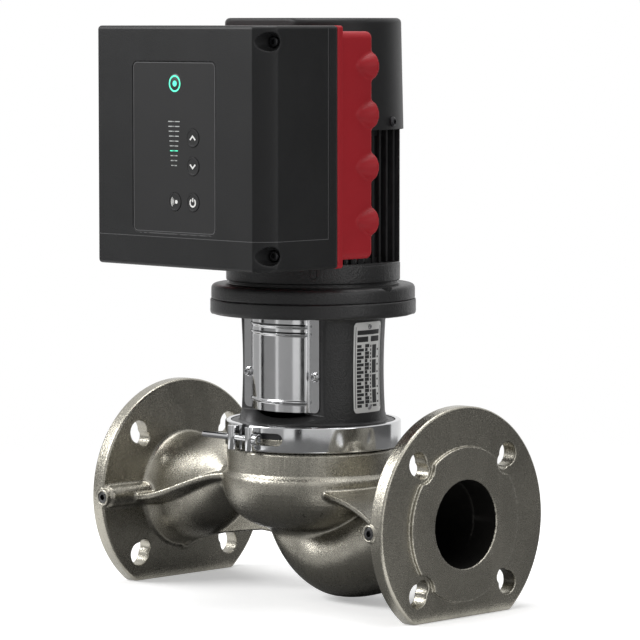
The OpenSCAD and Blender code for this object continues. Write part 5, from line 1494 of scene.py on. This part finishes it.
@dataclass(frozen=True)
class ControlBox(SubAssembly):
    """The speed control's cover, red base, gasket and screws."""

    voxel: float = 1.0
    keep: Pair = (0.25, 0.3)
    half_w: float = 100.0
    half_h: float = 94.25
    bevel_w: float = 12.0
    bevel_d: float = 17.0
    wall: float = 3.5
    domes: tuple[float, ...] = (-59.5, -17.0, 24.0, 62.0)
    base_mid: float = 295.45
    dome_r: float = 11.3
    dome_len: float = 22.2
    groove_z: float = 223.75
    groove_y: float = 82.95

    def plan(self, inset: float) -> list[Pair]:
        """Return the cover's plan, with its bevelled side edges."""
        half, front = self.half_w - inset, COVER_FRONT - inset
        right = []
        corner = (half - self.bevel_w, -front + self.bevel_d)
        for px, py in arc(corner, (self.bevel_w, self.bevel_d), 0, -90, 14):
            along = (px - half + self.bevel_w) / self.bevel_w
            right.append((px, mix(mix(-front, -front + self.bevel_d, along), py, 0.35)))
        return [(-half, -60.0), (half, -60.0), *right, *[(-px, py) for px, py in reversed(right)]]

    def cover(self, p: Points) -> np.ndarray:
        """Return the distance to the cover."""
        x, y, z = p.T
        level = z - BOX_MID
        outer = both(outline_distance(x, y, self.plan(0.0)), np.abs(level) - self.half_h, 3.0)
        outer = both(outer, y + COVER_REAR, 0.6)
        room = both(outline_distance(x, y, self.plan(self.wall)), np.abs(level) - self.half_h + self.wall,
                    2.0)
        corner = np.hypot(np.abs(x) - RECESS_X, np.abs(level) - RECESS_Z)
        room = np.maximum(room, 9.3 - corner)
        shell = cut(outer, room, 0.4)
        pocket = np.hypot(np.abs(x) - POCKET_X, np.abs(level) - RECESS_Z)
        pocket = np.hypot(pocket, np.maximum(y + POCKET_FLOOR, 0)) - 7.3
        recess = np.maximum(corner - 4.7, y + RECESS_Y)
        screw_hole = np.maximum(corner - 2.3, y + 60.0)
        panel = np.maximum(round_box(x, z - PANEL_Z, 47.2, 66.7, 5.0), y + 151.5)
        openings = nothing(p)
        for (u, v), radius in (*((place, 7.5) for place in KEY_PLACES), (STATUS_PLACE, 6.5)):
            openings = np.minimum(openings, np.hypot(x - u, z - PANEL_Z - v) - radius)
        openings = np.minimum(openings, round_box(x, z - PANEL_Z - 3.2, 6.7, 19.0, 0.5))
        shell = cut(shell, panel, 0.35)
        shell = cut(shell, np.maximum(openings, y + 141.0), 0.2)
        shell = cut(shell, np.minimum(recess, screw_hole), 0.5)
        return cut(shell, pocket, 1.0)

    def base(self, p: Points) -> np.ndarray:
        """Return the distance to the red base."""
        x, y, z = p.T
        level = z - self.base_mid
        lip = both(round_box(x, z - BOX_MID, 100.0, self.half_h, 2.5), np.abs(y + 69.3) - 3.1, 0.7)
        tray = both(round_box(x, level, 97.0, 89.0, 6.0), np.abs(y + 48.8) - 17.8, 1.6)
        body = union(lip, tray, 1.2)
        for dome in self.domes:
            along = np.clip((-31.0 - y) / self.dome_len, 0, 1.2)
            radius = self.dome_r * (1 - along**1.6)
            bulge = 0.8 * (np.hypot(x - 93.4, level - dome) - radius)
            body = union(body, np.maximum(np.maximum(bulge, y + 31.0), 94.0 - x), 1.6)
        posts = np.hypot(np.abs(x) - RECESS_X, np.abs(z - BOX_MID) - RECESS_Z) - 5.5
        hollow = np.maximum(round_box(x, level, 94.0, 86.0, 3.0), y + 63.0)
        hollow = np.maximum(hollow, -posts)
        wells = both(round_box(np.abs(x) - 86.75, level, 7.25, 77.0, 2.0), np.abs(y + 49.0) - 15.0, 1.0)
        room = np.maximum(np.hypot(x, y) - 75.0, -60.0 - y)
        holes = np.maximum(posts + 3.4, y + 63.5)
        passage = np.maximum(np.hypot(x, z - 296.5) - 8.0, y + 58.0)
        body = cut(body, np.minimum(hollow, wells), 0.6)
        return cut(body, np.minimum(np.minimum(room, holes), passage), 0.8)

    def build_groove_highlight(self, shop: Workshop) -> None:
        """Make the pale line round the cover's front, bevels and sides, a painted highlight that stands for a
        fine groove.
        """
        z0, z1, y = self.groove_z, self.groove_z + 0.5, -self.groove_y
        proud, deep = self.half_w + 0.03, self.half_w - 0.6
        inner, outer = ([point for point in self.plan(inset) if point[1] < y] for inset in (0.6, -0.03))
        lines = zip([(proud, y), *outer, (-proud, y)], [(deep, y), *inner, (-deep, y)])
        parts = [sweep("groove_front", [[(*a, z0), (*b, z0), (*b, z1), (*a, z1)] for a, b in lines])]
        for side in (1, -1):
            x0, x1 = side * proud, side * deep
            parts.append(sweep("groove_side", [[(x0, y, z), (x1, y, z), (x1, y + 0.5, z), (x0, y + 0.5, z)]
                                               for z in (z0, BOX_MID + self.half_h - 2)]))
        # The line takes the lighter grey of a painted highlight.
        shop.hand_over(join("cover_groove_line", parts), Slot.BLACK_PLASTIC, finish=EDGE_HIGHLIGHT_LINE)

    def build(self, shop: Workshop) -> None:
        """Make the cover, the base, the gasket and the screws."""
        cover = cast_piece("box_cover_moulding", self.cover, (-100, -153, 200.5), (100, -73.2, 389),
                           self.voxel, self.keep[0])
        shop.hand_over(cover, Slot.BLACK_PLASTIC, nodes=["box_cover"])
        base = cast_piece("box_base_moulding", self.base, (-100, -72.4, 200.5), (105, -31, 389),
                          self.voxel, self.keep[1])
        shop.hand_over(base, Slot.RED_PLASTIC, nodes=["box_base"])
        shop.dress_node("box_gasket", Slot.BLACK_RUBBER)
        self.build_groove_highlight(shop)
        head = rounded([(4.0, 0), (4.0, 4.5), (0, 4.5)], [0, 0.8, 0], closed=False)
        screws = [screw_with_drive("screw", [(0, -63), (2.1, -63), (2.1, 0), *head],
                                   facing_front(x * RECESS_X, -RECESS_Y, BOX_MID + z * RECESS_Z), 48,
                                   polygon([2.3], 6), 4, 2.0) for x in (1, -1) for z in (1, -1)]
        shop.hand_over(join("box_screw_set", screws), Slot.DARK_FASTENERS, nodes=["box_screws"])


class Symbol(Enum):
    """Standard symbols on the keys."""

    UP = "up"
    DOWN = "down"
    RADIO = "radio"
    POWER = "power"


@dataclass(frozen=True)
class Key:
    """One key: its name, body, place on the panel and symbol."""

    node: str
    body: Body
    place: Pair
    symbol: Symbol

    def strokes(self) -> list[list[Pair]]:
        """Return the lines of the key's symbol, in millimetres about its middle."""
        if self.symbol is Symbol.UP:
            return [[(-3.0, -1.5), (0, 1.5), (3.0, -1.5)]]
        if self.symbol is Symbol.DOWN:
            return [[(-3.0, 1.5), (0, -1.5), (3.0, 1.5)]]
        if self.symbol is Symbol.POWER:
            return [arc((0, -0.2), (3.0, 3.0), 125, 415, 28), [(0, 0.4), (0, 3.6)]]
        return [arc((1.5, 0), (r, r), 180 - 3 * r - 26, 180 + 3 * r + 26, 12) for r in (2.7, 4.0, 5.3)]


def ribbon(name: str, path: Sequence[Pair], width: float, depth: float, place: Matrix,
           closed: bool = False) -> bpy.types.Object:
    """Lay a flat raised line along a path in a plane.

    Args:
        name: Name of the piece.
        path: Points in the plane.
        width: Width of the line.
        depth: Height of the line above the plane.
        place: Where the plane lies.
        closed: Whether the line closes on itself.

    Returns:
        The new object.
    """
    sections = []
    count = len(path)
    for i, point in enumerate(path):
        before = path[i - 1] if closed or i > 0 else None
        after = path[(i + 1) % count] if closed or i < count - 1 else None
        here = Vector(point)
        into = (here - Vector(before)).normalized() if before else (Vector(after) - here).normalized()
        out = (Vector(after) - here).normalized() if after else into
        along = (into + out).normalized()
        across = Vector((-along.y, along.x)) * (width / 2 / max(0.5, along.dot(into)))
        left, right = here + across, here - across
        sections.append([tuple(place @ Vector((q.x, q.y, w))) for q, w in
                         ((left, 0), (right, 0), (right, depth), (left, depth))])
    return sweep(name, sections, closed)


@dataclass(frozen=True)
class Panel(SubAssembly):
    """The control panel with its keys, its level scale and its status light."""

    width: float = 94.0
    height: float = 133.0
    key_r: float = 7.2
    lit_row: int = 6
    rows: int = 10
    pitch: float = 3.8
    film: float = 1.2
    keys: tuple[Key, ...] = (
        Key("key_up", Body.KEY_UP, KEY_PLACES[0], Symbol.UP),
        Key("key_down", Body.KEY_DOWN, KEY_PLACES[1], Symbol.DOWN),
        Key("key_radio", Body.KEY_RADIO, KEY_PLACES[2], Symbol.RADIO),
        Key("key_power", Body.KEY_POWER, KEY_PLACES[3], Symbol.POWER),
    )

    def build_film(self, shop: Workshop) -> None:
        """Make the panel itself and the pale line round it, a painted highlight of its edge."""
        half_w, half_h = self.width / 2, self.height / 2
        corners = [(-half_w, -half_h), (half_w, -half_h), (half_w, half_h), (-half_w, half_h)]
        place = facing_front(0, -PANEL_FACE + self.film, PANEL_Z)
        film = prism("panel_film_sheet", rounded(corners, [5] * 4, 8), self.film, place)
        for spot, radius in (*((key.place, 7.5) for key in self.keys), (STATUS_PLACE, 7.55)):
            boolean(film, lathe("hole", pin(radius, -1, 3), place @ Matrix.Translation((*spot, 0)), 64))
        shop.hand_over(bevel(film, 0.25, 1, 40), Slot.PANEL_FILM, nodes=["control_panel"])
        # The pale border line is a painted highlight of the panel's edge.
        inner = [(x * (1 - 0.5 / half_w), y * (1 - 0.5 / half_h)) for x, y in corners]
        line = ribbon("panel_border_line", rounded(inner, [4.6] * 4, 8), 0.7, 0.06,
                      facing_front(0, -PANEL_FACE, PANEL_Z), True)
        shop.hand_over(line, Slot.PANEL_FILM, finish=EDGE_HIGHLIGHT_LINE)

    def build_key(self, shop: Workshop, key: Key) -> None:
        """Make one key with its collar and its raised symbol."""
        u, v = key.place
        place = facing_front(u, -PANEL_FACE, PANEL_Z + v)
        back, collar, r = -4.8, -3.3, self.key_r
        outline = [(0, back), (r + 1.5, back), (r + 1.5, collar), (r, collar),
                   *rounded([(r, 0), (r, 0.4), (r - 1.0, 0.4), (r - 1.3, 0.15), (0, 0.15)],
                            [0, 0.3, 0.2, 0.1, 0], 4, False)]
        shop.hand_over(lathe(f"{key.node}_cap", outline, place, 72), Slot.KEY_PLASTIC, key.body, [key.node])
        face = place @ Matrix.Translation((0, 0, 0.14))
        radio = key.symbol is Symbol.RADIO
        parts = [ribbon("stroke", path, 0.55 if radio else 1.25, 0.12, face) for path in key.strokes()]
        if radio:
            parts.append(lathe("source", pin(1.5, 0, 0.12), face @ Matrix.Translation((1.9, 0, 0)), 24))
        shop.hand_over(join(f"{key.node}_symbol", parts), Slot.KEY_PLASTIC, key.body, finish=WHITE_MARK)

    def build_lights(self, shop: Workshop) -> None:
        """Make the level scale and the status light."""
        place = facing_front(0, -PANEL_FACE, PANEL_Z)
        sunk = place @ Matrix.Translation((0, 0, -0.02))
        dim, lit = [], []
        for k in range(self.rows):
            half = mix(13.4, 6.4, k / (self.rows - 1)) / 2
            z = 20.3 - k * self.pitch
            for start, end in ((-half, -1.4), (-0.5, 0.5), (1.4, half)):
                bar = ribbon("bar", [(start, z), (end, z)], 0.75, 0.05, sunk)
                (lit if k == self.lit_row else dim).append(bar)
        shop.hand_over(join("level_scale", dim), Slot.LEVEL_GLASS, nodes=["level_lights"])
        shop.hand_over(join("level_lit_row", lit), Slot.LEVEL_GLASS, finish=Slot.STATUS_GLASS.value)
        spot = place @ Matrix.Translation((*STATUS_PLACE, 0))
        disc = lathe("status_window", [(0, -1.2), (7.5, -1.2), (7.5, -0.1), (7.3, 0), (0, 0)], spot, 72)
        shop.hand_over(disc, Slot.STATUS_GLASS, nodes=["status_light"], finish=DARK_PRINT)
        ring = ribbon("ring", arc((0, 0), (5.9, 5.9), 0, 355, 71), 1.3, 0.06, spot, True)
        dot = lathe("dot", pin(2.3, -0.2, 0.06), spot, 48)
        shop.hand_over(join("status_ring", [ring, dot]), Slot.STATUS_GLASS)

    def build(self, shop: Workshop) -> None:
        """Make the panel and all that it carries."""
        self.build_film(shop)
        for key in self.keys:
            self.build_key(shop, key)
        self.build_lights(shop)


INSIDE_NODES: dict[Slot, tuple[str, ...]] = {
    Slot.WEAR_BRONZE: ("neck_ring",),
    Slot.POLISHED_STAINLESS: ("impeller", "lower_bearing_balls", "upper_bearing_balls"),
    Slot.ZINC_STEEL: ("impeller_nut", "seal_rotating_part", "bearing_outer_rings", "bearing_inner_rings"),
    Slot.SHAFT_STEEL: ("pump_shaft", "motor_shaft"),
    Slot.CARBON_SEAL: ("seal_seat",),
    Slot.CAST_STAINLESS: ("seal_cover",),
    Slot.BLACK_RUBBER: ("casing_o_ring",),
    Slot.COUPLING_IRON: ("front_coupling_half", "rear_coupling_half"),
    Slot.DARK_FASTENERS: ("coupling_screws",),
    Slot.LAMINATION_STEEL: ("stator_core", "rotor_core"),
    Slot.COPPER_WINDING: ("stator_windings",),
    Slot.BLACK_PLASTIC: ("fan",),
    Slot.BOARD_LAMINATE: ("circuit_board",),
}

class Internals(SubAssembly):
    """The parts inside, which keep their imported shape."""

    def build(self, shop: Workshop) -> None:
        """Give every node that nothing stands for its finish."""
        for slot, nodes in INSIDE_NODES.items():
            for node in nodes:
                shop.dress_node(node, slot)


# Studio


@dataclass(frozen=True)
class SoftBox:
    """One area light: where it stands, what it points at, its size in metres, its power and its colour."""

    name: str
    place: Triple
    target: Triple
    size: Pair
    power: float
    colour: Triple = (1.0, 1.0, 1.0)


@dataclass(frozen=True)
class Card:
    """One card that only shows in reflections: its place, target, size and grey level, and its own light."""

    name: str
    place: Triple
    target: Triple
    size: Pair
    grey: float
    light: float = 0.0


def floor_card(name: str, x: float, y: float, size: Pair, grey: float, level: float = -0.072) -> Card:
    """Return a card that lies on the floor, face up."""
    return Card(name, (x, y, level), (x, y, 1.0), size, grey)


def aim(place: Vector, target: Vector) -> Matrix:
    """Return a placing whose -Z looks at the target and whose Y leans up."""
    return Matrix.Translation(place) @ (target - place).to_track_quat("-Z", "Y").to_matrix().to_4x4()


@dataclass(frozen=True)
class Studio:
    """Camera, lights, floor and background."""

    camera_place: Triple = (1.934966, -2.089295, 0.391344)
    yaw: float = 0.787254
    pitch: float = 0.0809561
    lens: float = 206.28
    fill: float = 0.36
    floor_lift: float = 0.36
    floor_fade: Pair = (0.55, 1.25)
    boxes: tuple[SoftBox, ...] = (
        SoftBox("key_light", (-1.5, -1.6, 1.35), (-0.17, -0.05, 0.12), (1.1, 1.1), 46.0),
        SoftBox("top_light", (-0.1, 0.1, 1.9), (-0.17, 0, 0.1), (1.1, 1.1), 22.0),
        SoftBox("side_light", (1.7, 0.2, 0.7), (-0.12, 0, 0.05), (0.5, 1.4), 6.0),
    )
    cards: tuple[Card, ...] = (
        Card("left_grey", (-1.75, -1.45, 0.35), (-0.17, 0, 0.15), (1.5, 1.5), 0.36, 0.40),
        Card("front_grey", (-0.45, -2.1, 0.35), (-0.17, 0, 0.15), (1.15, 1.5), 0.36, 0.62),
        Card("side_grey", (-2.1, 0.0, 0.35), (-0.17, 0, 0.15), (1.1, 1.5), 0.36, 0.75),
        Card("left_flag", (-1.25, -0.55, 0.25), (-0.2, -0.1, 0.2), (0.2, 1.5), 0.02),
        Card("right_flag", (1.2, 1.2, 0.1), (-0.05, 0, 0.1), (2.5, 2.0), 0.16),
        Card("front_flag", (0.62, -1.6, 0.25), (-0.17, -0.1, 0.1), (0.3, 1.6), 0.03),
        floor_card("right_floor_flag", 0.53, 0.5, (1.05, 1.1), 0.24),
        floor_card("under_flag", -0.17, 0.0, (0.29, 0.88), 0.22, -0.0732),
        floor_card("back_floor_flag", -0.16, 0.62, (0.32, 0.95), 0.24),
        floor_card("front_floor_flag", 0.25, -0.75, (1.3, 1.1), 0.16),
        Card("camera_flag", (1.15, -1.25, 0.1), (-0.17, -0.05, 0.1), (1.5, 1.7), 0.40, 0.9),
    )

    def build_camera(self) -> None:
        """Set the camera that the photograph was matched with."""
        data = bpy.data.cameras.new("photo_camera")
        data.sensor_width = 36.0
        data.lens = self.lens
        data.clip_start, data.clip_end = 0.05, 50.0
        camera = bpy.data.objects.new("photo_camera", data)
        bpy.context.scene.collection.objects.link(camera)
        right = Vector((math.cos(self.yaw), math.sin(self.yaw), 0))
        back = Vector((math.sin(self.yaw) * math.cos(self.pitch), -math.cos(self.yaw) * math.cos(self.pitch),
                       math.sin(self.pitch)))
        up = back.cross(right)
        place = Matrix((right, up, back)).transposed().to_4x4()
        place.translation = Vector(self.camera_place)
        camera.matrix_world = place
        bpy.context.scene.camera = camera

    def build_light(self, box: SoftBox) -> None:
        """Make one soft box."""
        data = bpy.data.lights.new(box.name, "AREA")
        data.shape = "RECTANGLE"
        data.size, data.size_y = box.size
        data.energy = box.power
        data.color = box.colour
        light = bpy.data.objects.new(box.name, data)
        light.matrix_world = aim(Vector(box.place), Vector(box.target))
        bpy.context.scene.collection.objects.link(light)

    def build_card(self, card: Card, shop: Workshop) -> None:
        """Make one card that the camera doesn't see."""
        place = aim(Vector(card.place), Vector(card.target))
        w, h = card.size[0] / 2, card.size[1] / 2
        mesh = bpy.data.meshes.new(card.name)
        mesh.from_pydata([place @ Vector(c) for c in ((-w, -h, 0), (w, -h, 0), (w, h, 0), (-w, h, 0))], [],
                         [(0, 1, 2, 3)])
        plane = link(card.name, mesh)
        finish = Finish(f"{card.name}_cloth", (card.grey,) * 3, (card.grey * 1.1,) * 3, 0.0, 0.9, 0.05,
                        grain=4.0, glow=card.light, specular=0.1)
        plane.data.materials.append(shop.material(finish))
        plane.visible_camera = False
        plane.visible_shadow = False
        plane.visible_diffuse = False

    @staticmethod
    def seen(tree: Tree) -> Socket:
        """Return 1 for rays that show the surface: straight, in a reflection or through glass."""
        rays = add_node(tree, "ShaderNodeLightPath").outputs
        direct = maths(tree, "ADD", rays["Is Camera Ray"], rays["Is Glossy Ray"])
        return maths(tree, "ADD", direct, rays["Is Transmission Ray"], True)

    def build_floor(self) -> None:
        """Make the pale floor, which fades into the background further out."""
        low = FOOT_Z * MM - 0.0002
        mesh = bpy.data.meshes.new("floor")
        mesh.from_pydata([(-6, -6, low), (6, -6, low), (6, 6, low), (-6, 6, low)], [], [(0, 1, 2, 3)])
        floor = link("floor", mesh)
        material = bpy.data.materials.new("pale_floor")
        material.use_nodes = True
        tree = material.node_tree
        surface = tree.nodes["Principled BSDF"]
        place = place_on_object(tree)
        colour = mix_colours(tree, noise(tree, place, 3.0), (0.90, 0.90, 0.90, 1), (0.93, 0.93, 0.93, 1))
        tree.links.new(colour, surface.inputs["Base Color"])
        surface.inputs["Roughness"].default_value = 0.75
        surface.inputs["Specular IOR Level"].default_value = 0.2
        surface.inputs["Emission Color"].default_value = (1, 1, 1, 1)
        lift = maths(tree, "MULTIPLY", self.seen(tree), self.floor_lift)
        tree.links.new(lift, surface.inputs["Emission Strength"])
        away = add_node(tree, "ShaderNodeVectorMath", {0: place}, operation="LENGTH").outputs["Value"]
        fade = add_node(tree, "ShaderNodeMapRange", {0: away, 1: self.floor_fade[0], 2: self.floor_fade[1]},
                        interpolation_type="SMOOTHSTEP")
        clear = add_node(tree, "ShaderNodeBsdfTransparent")
        blend = add_node(tree, "ShaderNodeMixShader", {0: fade.outputs[0], 1: surface.outputs[0],
                                                       2: clear.outputs[0]})
        tree.links.new(blend.outputs[0], tree.nodes["Material Output"].inputs["Surface"])
        floor.data.materials.append(material)

    def build_world(self) -> None:
        """Make the background white where it is seen, and a softer fill where it lights the set."""
        world = bpy.data.worlds.new("studio")
        bpy.context.scene.world = world
        world.use_nodes = True
        tree = world.node_tree
        background = tree.nodes["Background"]
        background.inputs["Color"].default_value = (1, 1, 1, 1)
        strength = ramp(tree, self.seen(tree), 0.0, 1.0, self.fill, 1.0)
        tree.links.new(strength, background.inputs["Strength"])

    def build(self, shop: Workshop) -> None:
        """Set up the whole studio."""
        bpy.context.scene.view_settings.view_transform = "Standard"
        self.build_camera()
        self.build_world()
        self.build_floor()
        for box in self.boxes:
            self.build_light(box)
        for card in self.cards:
            self.build_card(card, shop)


def main() -> None:
    """Dress the model, log the nodes that nothing dressed, and set up the studio."""
    logging.basicConfig(level=logging.INFO, format="%(name)s %(message)s")
    shop = Workshop()
    parts: tuple[SubAssembly, ...] = (Casing(), Stool(), Clamp(), Guards(), Motor(), ControlBox(), Panel(),
                                      Internals())
    for part in parts:
        part.build(shop)
    left = sorted(set(frame["nodes"]) - shop.dressed)
    log.info("nodes left as packed: %s", ", ".join(left) or "none")
    Studio().build(shop)


if __name__ == "__main__":
    main()
